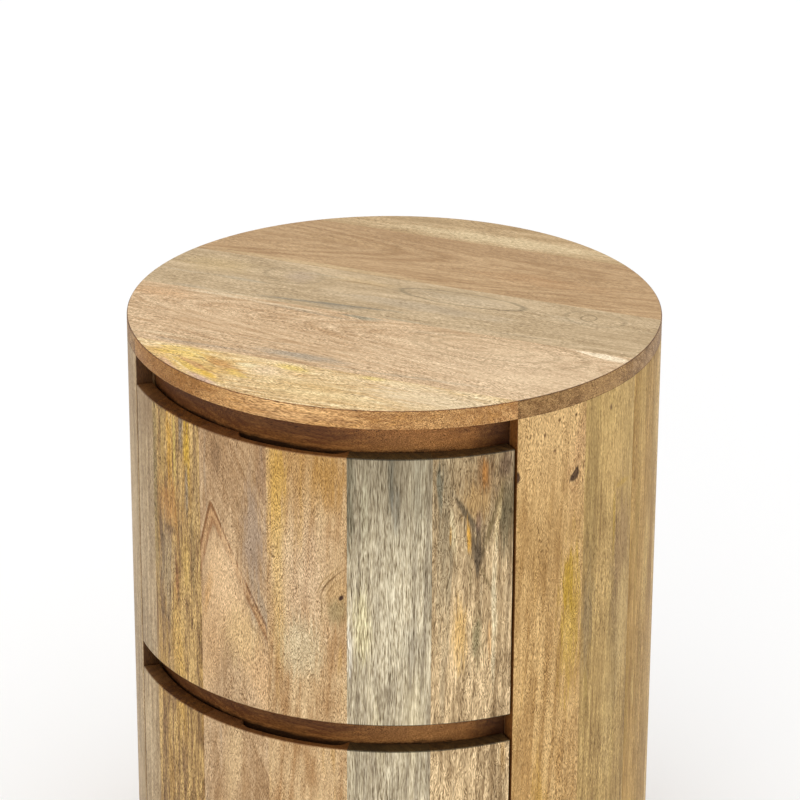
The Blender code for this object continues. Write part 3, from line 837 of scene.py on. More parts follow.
GREY_FLAMED = Timber(
    "#d8ba8d", "#8f7450", "#b59e7a", 6.2, 0.4,
    replace(STRAIGHT, wander=6.0, tick=3.4, tick_length=7.0, flow=9.0, line=2.3, broad=1.3),
    marks=(
        # Painted shade: darker towards the top edge, below the finger gap.
        Mark(0, 520, 60, 105, "#75664a", 0.62, softness=0.95, ragged=0.3),
        Mark(-25, 440, 8, 100, "#85765b", 0.6),
        Mark(6, 496, 22, 26, "#a98253", 0.35, softness=0.9, ragged=0.6),
        Mark(0, 360, 40, 40, "#ddbf90", 0.3, softness=0.9, ragged=0.4),
        Mark(-28, 494, 2.6, 24, "#62604f", 0.7),
        Mark(1, 476, 14, 20, "#b28d58", 0.65),
        Mark(8, 502, 8, 18, "#7d5730", 0.7, ragged=0.9),
        Mark(8.5, 503, 2.6, 12, "#b87a34", 0.6, softness=0.9, ragged=1.3),
        Mark(27, 507, 7, 14, "#674f3b", 0.75, softness=0.5),
        Mark(26, 506, 10, 20, "#6e5b43", 0.5, softness=0.25, form=MarkForm.OUTLINE),
        Mark(28.5, 460, 7, 38, "#5a4f35", 0.82),
        Mark(20.5, 462, 2.2, 30, "#ccb17f", 0.6, lean=0.1),
        Mark(-17.7, 453, 2.8, 24, "#d2bd92", 0.75, lean=-0.1),
        Mark(-20, 450, 1.2, 9, "#b58a42", 0.75),
        Mark(-5, 465, 3.6, 23, "#584b38", 0.85, lean=-0.58, softness=0.8, ragged=0.9),
        Mark(15.5, 458, 2.8, 34, "#67542f", 0.8, lean=0.3, softness=0.8, ragged=0.9),
        Mark(4, 460, 3.6, 12, "#836451", 0.6),
        Mark(-4.5, 447, 1.9, 17, "#cc9637", 0.85, lean=-0.1),
        Mark(3.8, 432, 5, 21, "#544533", 0.9, point=0.7),
        Mark(-2.5, 415, 1.1, 20, "#87724c", 0.65),
        Mark(14.3, 402, 1.6, 18, "#7f6a46", 0.7, lean=-0.43),
        Mark(18.5, 385, 2.6, 60, "#dacba6", 0.6),
        Mark(-11, 360, 7, 32, "#d2a862", 0.7),
        Mark(4, 358, 4.6, 26, "#7d714e", 0.8),
        Mark(15, 354, 2, 18, "#c59357", 0.5),
        *scattered(16, ("#8a7b60", "#d2b88a", "#c0975a", "#77684f"), 6, 290.0),
    ),
    end_shares=DARK_END, edge_shares=DARK_EDGE,
)
FRONT_TIMBERS = (GREY_BEIGE, GOLDEN_STREAKED, ARCHED, GOLDEN_KNOTTED, GREY_OLIVE, GREY_FLAMED)

PINK_TAN = Timber(
    "#d3ad73", "#a47d48", "#c0975a", 7.4, 0.3,
    replace(TICKED, tick_length=4.0, broad=0.8, mottle=1.0),
    marks=(
        Mark(0, 530, 50, 70, "#dbb67f", 0.5, softness=0.95, ragged=0.3),
        Mark(28, 506, 10, 30, "#bb9062", 0.55, lean=0.2),
        Mark(23, 470, 8, 40, "#cda571", 0.4),
        Mark(23, 483, 4.2, 6.2, "#472f1b", 0.97, lean=0.45, point=-0.6, softness=0.25, ragged=0.1),
        Mark(23, 483, 7, 12, "#a27646", 0.5, lean=0.3, softness=0.3, form=MarkForm.OUTLINE),
        Mark(-34, 493, 2.2, 5, "#3d2415", 0.95, softness=0.4, ragged=0.3),
        Mark(4.7, 535, 1.5, 1.8, "#64431f", 0.9, ragged=0.1),
        Mark(23, 535, 1.5, 1.8, "#64431f", 0.9, ragged=0.1),
        Mark(-9.8, 525, 1.3, 1.8, "#6b4a2c", 0.9, ragged=0.1),
        Mark(0.4, 509, 1.5, 1.8, "#6b4a2c", 0.85, ragged=0.1),
        Mark(0, 420, 30, 48, "#a17c49", 0.45, ragged=1.2),
        Mark(22, 352, 12, 68, "#bf9b3c", 0.6, ragged=1.1),
        Mark(19, 388, 8, 30, "#ae8826", 0.75, ragged=1.1),
        *scattered(21, ("#b98f55", "#d9b684", "#bf9540"), 5, 330.0),
    ),
    pores=0.5,
)
OLIVE_TAN = Timber(
    "#c4a367", "#8f7040", "#a3864a", 8.8, 0.4,
    replace(STRAIGHT, wander=5.0, tick=2.1, line=1.5, broad=0.8, mottle=0.5),
    marks=(
        Mark(0, 520, 46, 70, "#cba96b", 0.6, softness=0.95, ragged=0.3),
        Mark(4, 472, 16, 34, "#d3ae70", 0.5, softness=0.9, ragged=0.5),
        Mark(-8, 385, 16, 34, "#cba86d", 0.5, softness=0.9, ragged=0.5),
        Mark(20, 366, 14, 88, "#9a7b54", 0.62, softness=0.4, ragged=0.9),
        Mark(11, 388, 2.6, 62, "#8a6c46", 0.55),
        Mark(6.5, 424, 1.8, 34, "#b8953a", 0.6),
        Mark(19, 455, 12, 3, "#bd9843", 0.5),
        Mark(-25, 440, 8.5, 130, "#8d7344", 0.5, ragged=1.2),
        Mark(-27, 348, 7, 48, "#8c7758", 0.5, ragged=1.2),
        Mark(-3, 529, 1.8, 3.4, "#64462a", 0.9, ragged=0.1),
        *scattered(22, ("#8f764a", "#cdaf74", "#a88c4c"), 6, 340.0),
    ),
)
STRAIGHT_OLIVE = Timber(
    "#be9859", "#947037", "#a58446", 9.5, 0.5, replace(STRAIGHT, wander=5.0, tick=1.7),
    marks=scattered(23, ("#957846", "#c8a868"), 5),
)
PALE_HONEY = Timber(
    "#d3b27a", "#a9854c", "#c49f58", 10.1, 0.3, CATHEDRAL,
    marks=scattered(24, ("#c2933f", "#dcc091", "#a98654"), 7),
)
GREY_TAN = Timber(
    "#bda57c", "#8b7552", "#a4936b", 11.7, 0.45, replace(STRAIGHT, line=1.1),
    marks=scattered(25, ("#857761", "#cbb88f", "#a3834f"), 8),
)
BROWN_STREAKED = Timber(
    "#bf9765", "#85603a", "#a1814f", 12.9, 0.4, WAVY,
    marks=scattered(26, ("#6f5134", "#c79a45", "#8a6a44"), 9),
)
WALL_TIMBERS = (PINK_TAN, OLIVE_TAN, STRAIGHT_OLIVE, PALE_HONEY, GREY_TAN, BROWN_STREAKED)

BACK_PLANK = Timber(
    "#c9ab80", "#a98a5e", "#ba9e72", 13.3, figure=PLANK,
    marks=(
        Mark(12, 27, 13, 115, "#d9c196", 0.75),
        Mark(-10, -60, 10, 40, "#ab9068", 0.5),
    ),
)
ARCHED_PLANK = Timber(
    "#c3a176", "#a17d53", "#b08e66", 14.8, 0.3,
    replace(PLANK, pith_across=-8.0, pith_depth=25.0, apex=-20.0, taper=0.16, drift=0.05, contrast=0.8,
            tick=1.3),
    marks=(
        Mark(-45, 40, 12, 150, "#a8855c", 0.5),
        Mark(50, -100, 4, 110, "#cbb184", 0.6),
        Mark(10, 90, 12, 60, "#b3885a", 0.4),
        Mark(-12, -95, 7, 50, "#a78356", 0.45, lean=0.05),
    ),
)
RINGED_PLANK = Timber(
    "#cbb18b", "#a88e68", "#b5a385", 15.2, 0.3, replace(PLANK, wander=5.0),
    marks=(
        Mark(-15, -180, 18, 36, "#c2a675", 0.55),
        Mark(-16, -102, 13, 15, "#b39c81", 0.65),
        Mark(-16, -108, 17, 26, "#a08a68", 0.55, softness=0.14, ragged=0.1, form=MarkForm.OUTLINE),
        Mark(-26, -48, 7, 30, "#c6a777", 0.5),
        Mark(-22.5, -47, 1.3, 29, "#8d6f47", 0.7, bow=4, ragged=0.4),
        Mark(-22, 46, 11, 52, "#bfab8c", 0.5),
        Mark(-22, 46, 13, 56, "#8d7b5c", 0.75, softness=0.11, ragged=0.08, form=MarkForm.OUTLINE),
        Mark(-24, 159, 7, 6.5, "#85714f", 0.8, softness=0.2, ragged=0.08, form=MarkForm.OUTLINE),
        Mark(-24, 165, 16, 26, "#a08b69", 0.5, softness=0.13, ragged=0.1, form=MarkForm.OUTLINE),
        Mark(8, 20, 10, 80, "#b5a48b", 0.4),
        Mark(35, -45, 6, 22, "#9f8e75", 0.65),
        Mark(32, -55, 2.6, 74, "#857b66", 0.8, lean=-0.1),
        Mark(36, 118, 1.6, 54, "#9c8666", 0.6),
        Mark(41, -180, 4, 20, "#a5947b", 0.5),
        Mark(43, -140, 3, 56, "#d4bd98", 0.55),
    ),
)
PALE_PLANK = Timber(
    "#d9ba92", "#b28e65", "#c6ab87", 16.6, 0.3,
    replace(PLANK, pith_across=-26.0, pith_depth=20.0, apex=150.0, taper=-0.22, contrast=0.8, wander=9.0,
            tick=2.3, flow=10.0),
    pores=0.45,
    marks=(
        # Painted sheen: a lighter pool over the plank's right part.
        Mark(0, 160, 70, 130, "#e8cfab", 0.4, softness=0.95, ragged=0.3),
        Mark(-55, -145, 4, 38, "#dcc6a2", 0.7),
        Mark(-55, -13, 4, 19, "#8f8b74", 0.75),
        Mark(-52, -80, 1.8, 34, "#e3ceaa", 0.65, lean=0.04),
        Mark(-48, -66, 2.4, 46, "#a39074", 0.65, lean=0.05),
        Mark(-55, 198, 4.6, 27, "#eedab8", 0.95, lean=0.12, point=0.6, softness=0.35, ragged=0.2),
        Mark(-40, -195, 10, 30, "#cfa577", 0.55),
        Mark(-33, 104, 12, 40, "#9c825d", 0.4, softness=0.14, ragged=0.12, form=MarkForm.OUTLINE),
        Mark(-33, 110, 21, 58, "#9c825d", 0.4, softness=0.1, ragged=0.12, form=MarkForm.OUTLINE),
        Mark(-33, 116, 30, 76, "#9c825d", 0.4, softness=0.08, ragged=0.12, form=MarkForm.OUTLINE),
        Mark(44, -25, 7, 44, "#9c907d", 0.7),
        Mark(50, 70, 2.4, 70, "#a8977c", 0.5, lean=-0.08),
        Mark(53, -108, 3.4, 54, "#a8947a", 0.6),
        Mark(43, -147, 2.8, 38, "#dcc29a", 0.6),
    ),
)
FLAMED_PLANK = Timber(
    "#e6cb9a", "#bb935d", "#d0ab6a", 17.9, 0.3,
    replace(PLANK, wander=16.0, contrast=1.0, tick=3.0, tick_length=4.6, flow=10.0, broad=1.0),
    pores=0.3,
    marks=(
        Mark(-8, -96, 30, 46, "#d3ab5b", 0.7, softness=0.9, ragged=0.9),
        Mark(-21, -142, 10, 18, "#d2a75a", 0.65, lean=0.1, ragged=0.9),
        Mark(-27, -114, 10, 24, "#dab85a", 0.7, lean=0.15, ragged=1),
        Mark(1, -96, 7, 26, "#dab653", 0.7, lean=0.55, ragged=1),
        Mark(7, -80, 4, 12, "#dcae3c", 0.7, lean=0.6, ragged=1),
        Mark(-12, -74, 8, 27, "#b98649", 0.85, lean=0.55, ragged=0.9),
        Mark(-2, -60, 5, 16, "#dab85e", 0.7, lean=0.5, ragged=0.9),
        Mark(-10, -102, 3.4, 17, "#c29360", 0.75, lean=0.6, ragged=0.9),
        Mark(-22, -100, 2.2, 13, "#e8d291", 0.7, lean=0.6, ragged=0.9),
        Mark(-4, -110, 1.8, 14, "#e8cf98", 0.7, lean=0.8, ragged=0.9),
        Mark(0, -118, 5, 14, "#cba282", 0.75, lean=0.9, ragged=0.8),
        Mark(-3, -86, 1.2, 20, "#a8713a", 0.6, lean=0.6, ragged=0.9),
        Mark(-18, -92, 1.2, 18, "#a97a3e", 0.6, lean=0.5, ragged=0.9),
        Mark(17, -82, 5, 20, "#c3a08c", 0.8, lean=0.55, ragged=0.6),
        Mark(-21, -57, 5, 12, "#ecdcae", 0.7),
        Mark(-16, -40, 11, 14, "#dabe97", 0.65),
        Mark(-28, -22, 6, 18, "#e0c266", 0.7, lean=0.2),
        Mark(-34, 20, 2, 34, "#ae8a56", 0.6),
        Mark(-31, 46, 4, 11, "#d9c06e", 0.65),
        Mark(8, 10, 20, 60, "#d8ba80", 0.45),
        Mark(-14, 112, 25, 70, "#dfcaa6", 0.65),
    ),
)
TOP_TIMBERS = (BACK_PLANK, ARCHED_PLANK, RINGED_PLANK, PALE_PLANK, FLAMED_PLANK)
RIM = replace(STRAIGHT, tick=4.4, tick_length=5.5, line=1.6, broad=1.9, mottle=1.2)
# Darker rounded rim edges: painted shadow lines along the rim's edges, on top of wear.
RIM_TIMBERS = tuple(replace(timber, edge_shares=(0.7, 0.62, 0.5)) for timber in (
    Timber("#b98f5e", "#8f683d", "#a37d4e", 18.2, figure=RIM, pores=0.6),
    Timber("#b48a5a", "#8c653b", "#a0794b", 19.4, figure=RIM, pores=0.6),
    Timber("#ae8a5e", "#88663f", "#9c7d55", 20.5, figure=RIM, pores=0.6),
    Timber(
        "#a37d4d", "#7b5730", "#8e6c41", 21.1, figure=RIM, pores=0.6,
        marks=(tinge(222, 20, "#bb945f", 0.5),),
    ),
    Timber(
        "#cc9d64", "#98693a", "#b98547", 22.3, 0.45, replace(RIM, wander=14.0), pores=0.6,
        marks=(
            tinge(-130, 110, "#8a5a20", 0.8),
            tinge(118, 70, "#a97c49", 0.5),
            tinge(0, 52, "#e2b57c", 0.6),
        ),
    ),
))

BASE_TIMBERS = (ARCHED_PLANK, PALE_PLANK, RINGED_PLANK, ARCHED_PLANK)
# The rail's dark tones are partly painted shade of the finger gap.
RAIL_TIMBER = Timber(
    "#a06a36", "#6c3f1c", "#835326", 23.7, 0.4, replace(STRAIGHT, wander=12.0, line=0.5), pores=0.6,
    marks=(
        # Painted shade at the left end.
        tinge(-140, 90, "#532c10", 0.75),
        # Painted light right of the middle.
        tinge(95, 50, "#b07c47", 0.55),
        # Painted shade over the upper part, under the top.
        Mark(-22, -50, 9, 130, "#4a2911", 0.7, softness=0.8, ragged=0.5),
        # Painted shadow at the right end, by the jamb.
        Mark(0, 160, 60, 24, "#2c1105", 0.85, softness=0.8, ragged=0.2),
        # Painted shadow along the lower edge, behind the drawer front.
        Mark(-2.6, -20, 6.6, 185, "#1a0b04", 0.9, softness=0.4, ragged=0.4),
    ),
)
PANEL_TIMBER = Timber("#b08a5e", "#8a6540", "#9b7850", 24.4, 0.4)
BOX_TIMBER = Timber("#d6bb90", "#b9976a", "#c8aa7c", 25.6, 0.35, replace(STRAIGHT, tick=2.0), pores=0.5)
PLY_TIMBER = Timber("#dcc6a0", "#c4a67a", "#d0b68b", 26.9, 0.3, replace(WAVY, tick=1.8))


@dataclass(frozen=True)
class ZincSteel:
    """Finish of the slides and screws: bright zinc on rolled sheet."""

    colour: str = "#c3c6c8"
    tarnish: str = "#9fa2a1"
    shine: float = 0.5
    tarnish_cell: Triple = (6.0, 22.0, 6.0)
    tarnish_limits: Pair = (0.35, 0.7)
    rough_limits: Pair = (0.3, 0.75)
    rolled_cell: Triple = (0.25, 30.0, 0.25)
    bright_roughness: float = 0.26
    tarnish_roughness: float = 0.16
    relief: float = 0.12
    relief_depth: float = 0.05 * MM

    def material(self, name: str) -> Material:
        """Make the metal's material.

        Args:
            name: Name of the material.

        Returns:
            The new material.
        """
        material, sketch, place = Sketch.material(name, {"Scale": (1 / MM,) * 3})
        cloud = sketch.cloud(place, self.tarnish_cell, 3.0)
        tarnished = sketch.ramp(cloud, *self.tarnish_limits)
        colour = sketch.mix(tarnished, tone(self.colour), tone(self.tarnish))
        rough = sketch.ramp(cloud, *self.rough_limits)
        rough = sketch.times(rough, self.tarnish_roughness, self.bright_roughness)
        rolled = sketch.cloud(place, self.rolled_cell, 2.0)
        sketch.surface(
            {"Height": rolled, "Strength": self.relief, "Distance": self.relief_depth},
            {"Base Color": colour, "Roughness": rough, "Metallic": 1.0, "Specular IOR Level": self.shine})
        return material


@dataclass(frozen=True)
class StudioPaint:
    """Finish of the studio floor: plain matt white."""

    colour: Colour = (0.93, 0.93, 0.93, 1.0)
    roughness: float = 0.85
    shine: float = 0.1

    def material(self) -> Material:
        """Make the paint's material.

        Returns:
            The new material.
        """
        material = bpy.data.materials.new("studio_white")
        material.use_nodes = True
        shader = material.node_tree.nodes["Principled BSDF"]
        shader.inputs["Base Color"].default_value = self.colour
        shader.inputs["Roughness"].default_value = self.roughness
        shader.inputs["Specular IOR Level"].default_value = self.shine
        return material


def add_object(name: str, data: bpy.types.ID) -> Piece:
    """Put a mesh, lamp or camera in the scene.

    Args:
        name: Name of the object.
        data: What it holds.

    Returns:
        The object.
    """
    piece = bpy.data.objects.new(name, data)
    bpy.context.scene.collection.objects.link(piece)
    return piece


def from_bmesh(name: str, shape: Shape) -> Piece:
    """Put a shape in the scene.

    Args:
        name: Name of the object.
        shape: Its shape, which is freed.

    Returns:
        The object.
    """
    mesh = bpy.data.meshes.new(name)
    shape.to_mesh(mesh)
    shape.free()
    return add_object(name, mesh)


def settle(piece: Piece) -> Piece:
    """Turn what a piece's modifiers make into a plain mesh, and drop the modifiers.

    Args:
        piece: The piece, with its modifiers live.

    Returns:
        The same piece.
    """
    graph = bpy.context.evaluated_depsgraph_get()
    mesh = bpy.data.meshes.new_from_object(piece.evaluated_get(graph))
    piece.modifiers.clear()
    piece.data = mesh
    return piece


def dress(piece: Piece, *materials: Material) -> None:
    """Give a piece its materials, and keep each face's place among them.

    Args:
        piece: The piece.
        materials: Its materials, in the order of those places.
    """
    places = [face.material_index for face in piece.data.polygons]
    piece.data.materials.clear()
    for material in materials:
        piece.data.materials.append(material)
    piece.data.polygons.foreach_set("material_index", places)


def hand_over(piece: Piece, slot: Slot, node: str, replaces: bool = True) -> None:
    """Shade a finished piece smooth, and let it ride with a node's body and stand for that node.

    Args:
        piece: The finished piece.
        slot: Material slot of its finish; not used.
        node: Node whose body it rides on.
        replaces: Whether the piece stands for the node.
    """
    crease = math.radians(30)
    piece.data.shade_smooth()
    piece.data.set_sharp_from_angle(angle=crease)
    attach(piece, BODY_OF_NODE[node])
    if replaces:
        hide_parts(node)
    log.info("%s rides on %s", piece.name, BODY_OF_NODE[node])


def round_over(shape: Shape, edges: list[Edge], ease: float, segments: int) -> None:
    """Round some edges of a shape, each in a number of strips."""
    bmesh.ops.bevel(shape, geom=edges, offset=ease, offset_type="OFFSET", segments=segments, profile=0.5,
                    affect="EDGES", clamp_overlap=True)


def build_copy(name: str, node: str, ease: float, material: Material, slot: Slot) -> None:
    """Build a straight piece as a copy of its node's whole faces, with its edges rounded a little.

    Args:
        name: Name of the piece.
        node: The node that it stands for.
        ease: How far its edges are rounded.
        material: Its finish.
        slot: Material slot of that finish.
    """
    weld, flat, sharp = 0.001 * MM, math.radians(0.5), math.radians(40)
    shape = bmesh.new()
    shape.from_mesh(frame["nodes"][node].data)
    bmesh.ops.remove_doubles(shape, verts=shape.verts, dist=weld)
    bmesh.ops.dissolve_limit(shape, angle_limit=flat, verts=shape.verts, edges=shape.edges)
    edges = [edge for edge in shape.edges if edge.is_manifold and edge.calc_face_angle() > sharp]
    round_over(shape, edges, ease, segments=2)
    piece = from_bmesh(name, shape)
    dress(piece, material)
    hand_over(piece, slot, node)


@dataclass(frozen=True)
class Sector:
    """Place of a curved board round the drum's axis. Angles are from the front, positive to the right."""

    inner: float
    outer: float
    start: float
    end: float
    low: float
    high: float
    spread: float = 0.0

    @classmethod
    def of(cls, node: str) -> "Sector":
        """Read a curved board's place from its node.

        Args:
            node: Name of the node.

        Returns:
            The place. Its spread is how far the inner face goes past the outer one at each end.
        """
        near, least_spread = 2 * MM, math.radians(1)
        points = [vertex.co for vertex in frame["nodes"][node].data.vertices]
        facing = sum((point.xy for point in points), Vector((0.0, 0.0)))
        heading = math.atan2(facing.x, -facing.y)
        radii = [point.xy.length for point in points]
        inner, outer = min(radii), max(radii)
        turns = [math.remainder(math.atan2(point.x, -point.y) - heading, math.tau) for point in points]
        outside = [turn for turn, radius in zip(turns, radii) if outer - radius < near]
        inside = [turn for turn, radius in zip(turns, radii) if radius - inner < near]
        heights = [point.z for point in points]
        spread = max(inside) - max(outside)
        return cls(inner, outer, heading + min(outside), heading + max(outside), min(heights), max(heights),
                   spread if spread > least_spread else 0.0)

    @property
    def middle(self) -> float:
        """The angle of the board's middle line."""
        return (self.start + self.end) / 2

    def glued(self, at_start: bool, at_end: bool) -> "Sector":
        """This place, grown over half the glue line on the sides where the next board is glued on."""
        half_line = GLUE_LINE / 2 / self.outer
        return replace(self, start=self.start - half_line * at_start, end=self.end + half_line * at_end)


@dataclass(frozen=True)
class Ease:
    """How far a curved board's edges are rounded over."""

    level: float = 0.06 * MM
    start: float = 0.06 * MM
    end: float = 0.06 * MM


class ShapeTree:
    """Geometry nodes that make a sort of piece from its sizes and its material."""

    def __init__(self, name: str, inputs: Labels) -> None:
        """Build the tree once.

        Args:
            name: Name of its group.
            inputs: Labels of its sizes, by sort of socket.
        """
        self.sketch = Sketch.group(name, "GeometryNodeTree", {**inputs, "Material": ("Material",)},
                                   {"Geometry": ("Geometry",)})
        whole = self.sketch.add("GeometryNodeRealizeInstances", {"Geometry": self.shape()})
        dressed = self.sketch.add("GeometryNodeSetMaterial", {
            "Geometry": whole.outputs[0], "Material": self.sketch.given("Material")})
        self.sketch.give("Geometry", dressed.outputs[0])

    def shape(self) -> Socket:
        """The piece before it is dressed, which each sort of piece lays out for itself."""
        raise NotImplementedError

    def grown(self, name: str, values: dict[str, Input | None]) -> Piece:
        """Make one piece, with its nodes still live.

        Args:
            name: Name of the object.
            values: What the inputs of the tree take. Others among them are left aside.

        Returns:
            The piece, to be settled.
        """
        piece = add_object(name, bpy.data.meshes.new(name))
        nodes = piece.modifiers.new(self.sketch.tree.name, "NODES")
        nodes.node_group = self.sketch.tree
        for item in self.sketch.tree.interface.items_tree:
            if item.in_out == "INPUT" and values[item.name] is not None:
                nodes[item.identifier] = values[item.name]
        return piece


class CurvedBoardTree(ShapeTree):
    """Geometry nodes that bend a board round the drum's axis and weigh its edges for rounding."""

    widest_ease = 2 * MM
    ease_segments = 3
    fewest_steps = 4

    def __init__(self) -> None:
        """Build the tree once."""
        super().__init__("curved_board", {
            "Int": ("Steps",),
            "Float": ("Inner", "Outer", "Start", "End", "Low", "High", "Spread", "Level Ease", "Start Ease",
                      "End Ease")})

    def shape(self) -> Socket:
        """The bent board.

        Returns:
            Its mesh, with its edges weighed.
        """
        sketch = self.sketch
        corners = sketch.math("ADD", sketch.given("Steps"), 1.0)
        board = sketch.add("GeometryNodeMeshCube", {
            "Size": (1.0, 1.0, 1.0), "Vertices X": corners, "Vertices Y": 2, "Vertices Z": 2})
        weighed = sketch.add("GeometryNodeStoreNamedAttribute", {
            "Geometry": board.outputs["Mesh"], "Name": "bevel_weight_edge", "Value": self.edge_weight()},
            data_type="FLOAT", domain="EDGE")
        return sketch.add("GeometryNodeSetPosition", {
            "Geometry": weighed.outputs[0], "Position": self.bent_place()}).outputs[0]

    def edge_weight(self) -> Socket:
        """Weigh the edges of the straight board.

        Returns:
            Share of the widest rounding that each edge gets.
        """
        sketch, near = self.sketch, 0.001
        ends = sketch.add("GeometryNodeInputMeshEdgeVertices").outputs
        one, two = (sketch.split(ends[label])[0] for label in ("Position 1", "Position 2"))
        both = sketch.math("ADD", one, two)
        chosen = {
            "Level Ease": sketch.math("GREATER_THAN", sketch.math("ABSOLUTE", sketch.less(one, two)), near),
            "Start Ease": sketch.math("LESS_THAN", both, near - 1.0),
            "End Ease": sketch.math("GREATER_THAN", both, 1.0 - near),
        }
        total: Input = 0.0
        for label, share in chosen.items():
            total = sketch.times(share, sketch.given(label), total)
        return sketch.math("DIVIDE", total, self.widest_ease)

    def bent_place(self) -> Socket:
        """Bend the straight board round the axis.

        Returns:
            Place of each of its points.
        """
        sketch, given = self.sketch, self.sketch.given
        place = sketch.split(sketch.add("GeometryNodeInputPosition").outputs[0])
        along, inward, up = [sketch.math("ADD", part, 0.5) for part in place]
        spread = sketch.times(inward, given("Spread"))
        start, end = sketch.less(given("Start"), spread), sketch.math("ADD", given("End"), spread)
        angle = self.between(start, end, along)
        radius = self.between(given("Outer"), given("Inner"), inward)
        right = sketch.times(radius, sketch.math("SINE", angle))
        front = sketch.times(radius, sketch.math("COSINE", angle))
        return sketch.join(right, sketch.times(front, -1.0), self.between(given("Low"), given("High"), up))

    def between(self, one: Input, two: Input, share: Input) -> Socket:
        """A number at a share of the way from one to another."""
        return self.sketch.times(self.sketch.less(two, one), share, one)

    def board(self, name: str, sector: Sector, ease: Ease, material: Material | None) -> Piece:
        """Make one curved board, with its modifiers still live.

        Args:
            name: Name of the object.
            sector: Its place round the axis.
            ease: How its edges are rounded.
            material: Its finish.

        Returns:
            The board, to be settled once any cuts are added.
        """
        eases = {f"{label} Ease": width for label, width in numbers(ease).items()}
        steps = max(self.fewest_steps, round(math.degrees(sector.end - sector.start)))
        piece = self.grown(name, {**numbers(sector), **eases, "Steps": steps, "Material": material})
        rounding = piece.modifiers.new("rounding", "BEVEL")
        rounding.limit_method = "WEIGHT"
        rounding.width = self.widest_ease
        rounding.segments = self.ease_segments
        return piece


@dataclass
class StaveRow:
    """Upright staves glued edge to edge round the drum: the wall, or a drawer's front."""

    tree: CurvedBoardTree
    level_ease: float = Ease.level
    end_ease: float = 1.2 * MM

    def build_row(
        self, nodes: list[str], timbers: tuple[Timber, ...], slot: Slot, cutters: list[Piece],
        **heights: float,
    ) -> None:
        """Build and dress the staves.

        Args:
            nodes: Their nodes, in order.
            timbers: Their finishes.
            slot: Material slot of those finishes.
            cutters: Shapes that are cut from each stave.
            heights: Its low and high end, where they aren't the node's.
        """
        last = len(nodes) - 1
        for index, (node, timber) in enumerate(zip(nodes, timbers)):
            sector = replace(Sector.of(node).glued(index > 0, index < last), **heights)
            ease = Ease(self.level_ease, Ease.start if index > 0 else self.end_ease,
                        Ease.end if index < last else self.end_ease)
            lay = BoardLay.upright(sector.middle, sector.outer)
            face = timber.material(f"{node}_face", lay)
            piece = self.tree.board(f"{node}_board", sector, ease, face)
            for cutter in cutters:
                cut = piece.modifiers.new(cutter.name, "BOOLEAN")
                cut.operation = "DIFFERENCE"
                cut.solver = "EXACT"
                cut.object = cutter
            dress(settle(piece), face, timber.end_grain().material(f"{piece.name}_end", lay),
                  timber.worn_edge().material(f"{piece.name}_edge", lay))
            self.mark_zones(piece)
            hand_over(piece, slot, node)

    def mark_zones(self, piece: Piece) -> None:
        """Tell a stave's long faces from its cut ends and joints, and from its rounded edges.

        Args:
            piece: The stave, settled and dressed.
        """
        face_on, tilted, end_on = 0.97, 0.2, 0.9
        for polygon in piece.data.polygons:
            outward = polygon.center.xy.normalized()
            radial, sideways = outward.dot(polygon.normal.xy), outward.cross(polygon.normal.xy)
            rise = abs(polygon.normal.z)
            zone = Zone.EDGE if abs(radial) < face_on and rise > tilted else Zone.FACE
            if rise > end_on or abs(sideways) > end_on:
                zone = Zone.END
            polygon.material_index = zone.value


@dataclass
class RoundBoard:
    """A round board of planks side by side: the top, or the base."""

    ease: float = 1.2 * MM
    under_ease: float = 0.4 * MM
    ease_segments: int = 4
    step: float = math.radians(0.75)
    fewest_steps: int = 8
    near: float = 0.01 * MM
    rim_near: float = 0.1 * MM
    rim_facing: float = 0.93
    edge_facing: float = 0.25

    def plank(self, name: str, radius: float, span: Pair, heights: Pair) -> Piece:
        """Make one plank, cut to the circle, with its faces marked by zone.

        Args:
            name: Name of the object.
            radius: Radius of the circle.
            span: Front and back edge of the plank.
            heights: Lower and upper face.

        Returns:
            The plank.
        """
        front, back = span
        low, high = heights
        first = math.acos(min(1.0, -front / radius))
        last = math.acos(max(-1.0, -back / radius))
        count = max(self.fewest_steps, round((last - first) / self.step))
        angles = [first + (last - first) * index / count for index in range(count + 1)]
        right = [(radius * math.sin(angle), -radius * math.cos(angle)) for angle in angles]
        left = [(-x, y) for x, y in reversed(right) if x > self.near]
        shape = bmesh.new()
        face = shape.faces.new([shape.verts.new((x, y, low)) for x, y in right + left])
        grown = bmesh.ops.extrude_face_region(shape, geom=[face])["geom"]
        raised = [item for item in grown if isinstance(item, bmesh.types.BMVert)]
        bmesh.ops.translate(shape, vec=(0.0, 0.0, high - low), verts=raised)
        bmesh.ops.recalc_face_normals(shape, faces=shape.faces)
        self.round_rim(shape, radius)
        return from_bmesh(name, shape)

    def round_rim(self, shape: Shape, radius: float) -> None:
        """Round the rim's upper and lower edge, and mark the faces of the rim.

        Args:
            shape: The plank.
            radius: Radius of the circle.
        """
        half = sum(vert.co.z for vert in shape.verts) / len(shape.verts)
        upper: list[Edge] = []
        under: list[Edge] = []
        for edge in shape.edges:
            start, end = (vert.co for vert in edge.verts)
            middle = (start + end) / 2
            if abs(start.z - end.z) < self.near and middle.xy.length > radius - self.rim_near:
                (upper if middle.z > half else under).append(edge)
        round_over(shape, upper, self.ease, self.ease_segments)
        round_over(shape, under, self.under_ease, self.ease_segments)
        shape.normal_update()
        for face in shape.faces:
            outwards = face.calc_center_median().xy.normalized().dot(face.normal.xy)
            zone = Zone.EDGE if outwards > self.edge_facing else Zone.FACE
            face.material_index = (Zone.END if outwards > self.rim_facing else zone).value

    def finishes(self, name: str, face: Timber, rim: Timber, lay: BoardLay) -> list[Material]:
        """The materials of one plank, in the order of its zones."""
        return [face.material(f"{name}_face", lay), rim.material(f"{name}_rim", lay),
                rim.worn_edge().material(f"{name}_edge", lay)]


def top_underside() -> float:
    """Height of the top's lower face, which the wall and the top rail reach up to."""
    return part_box("top_plank_1")[1].z - TOP_THICKNESS


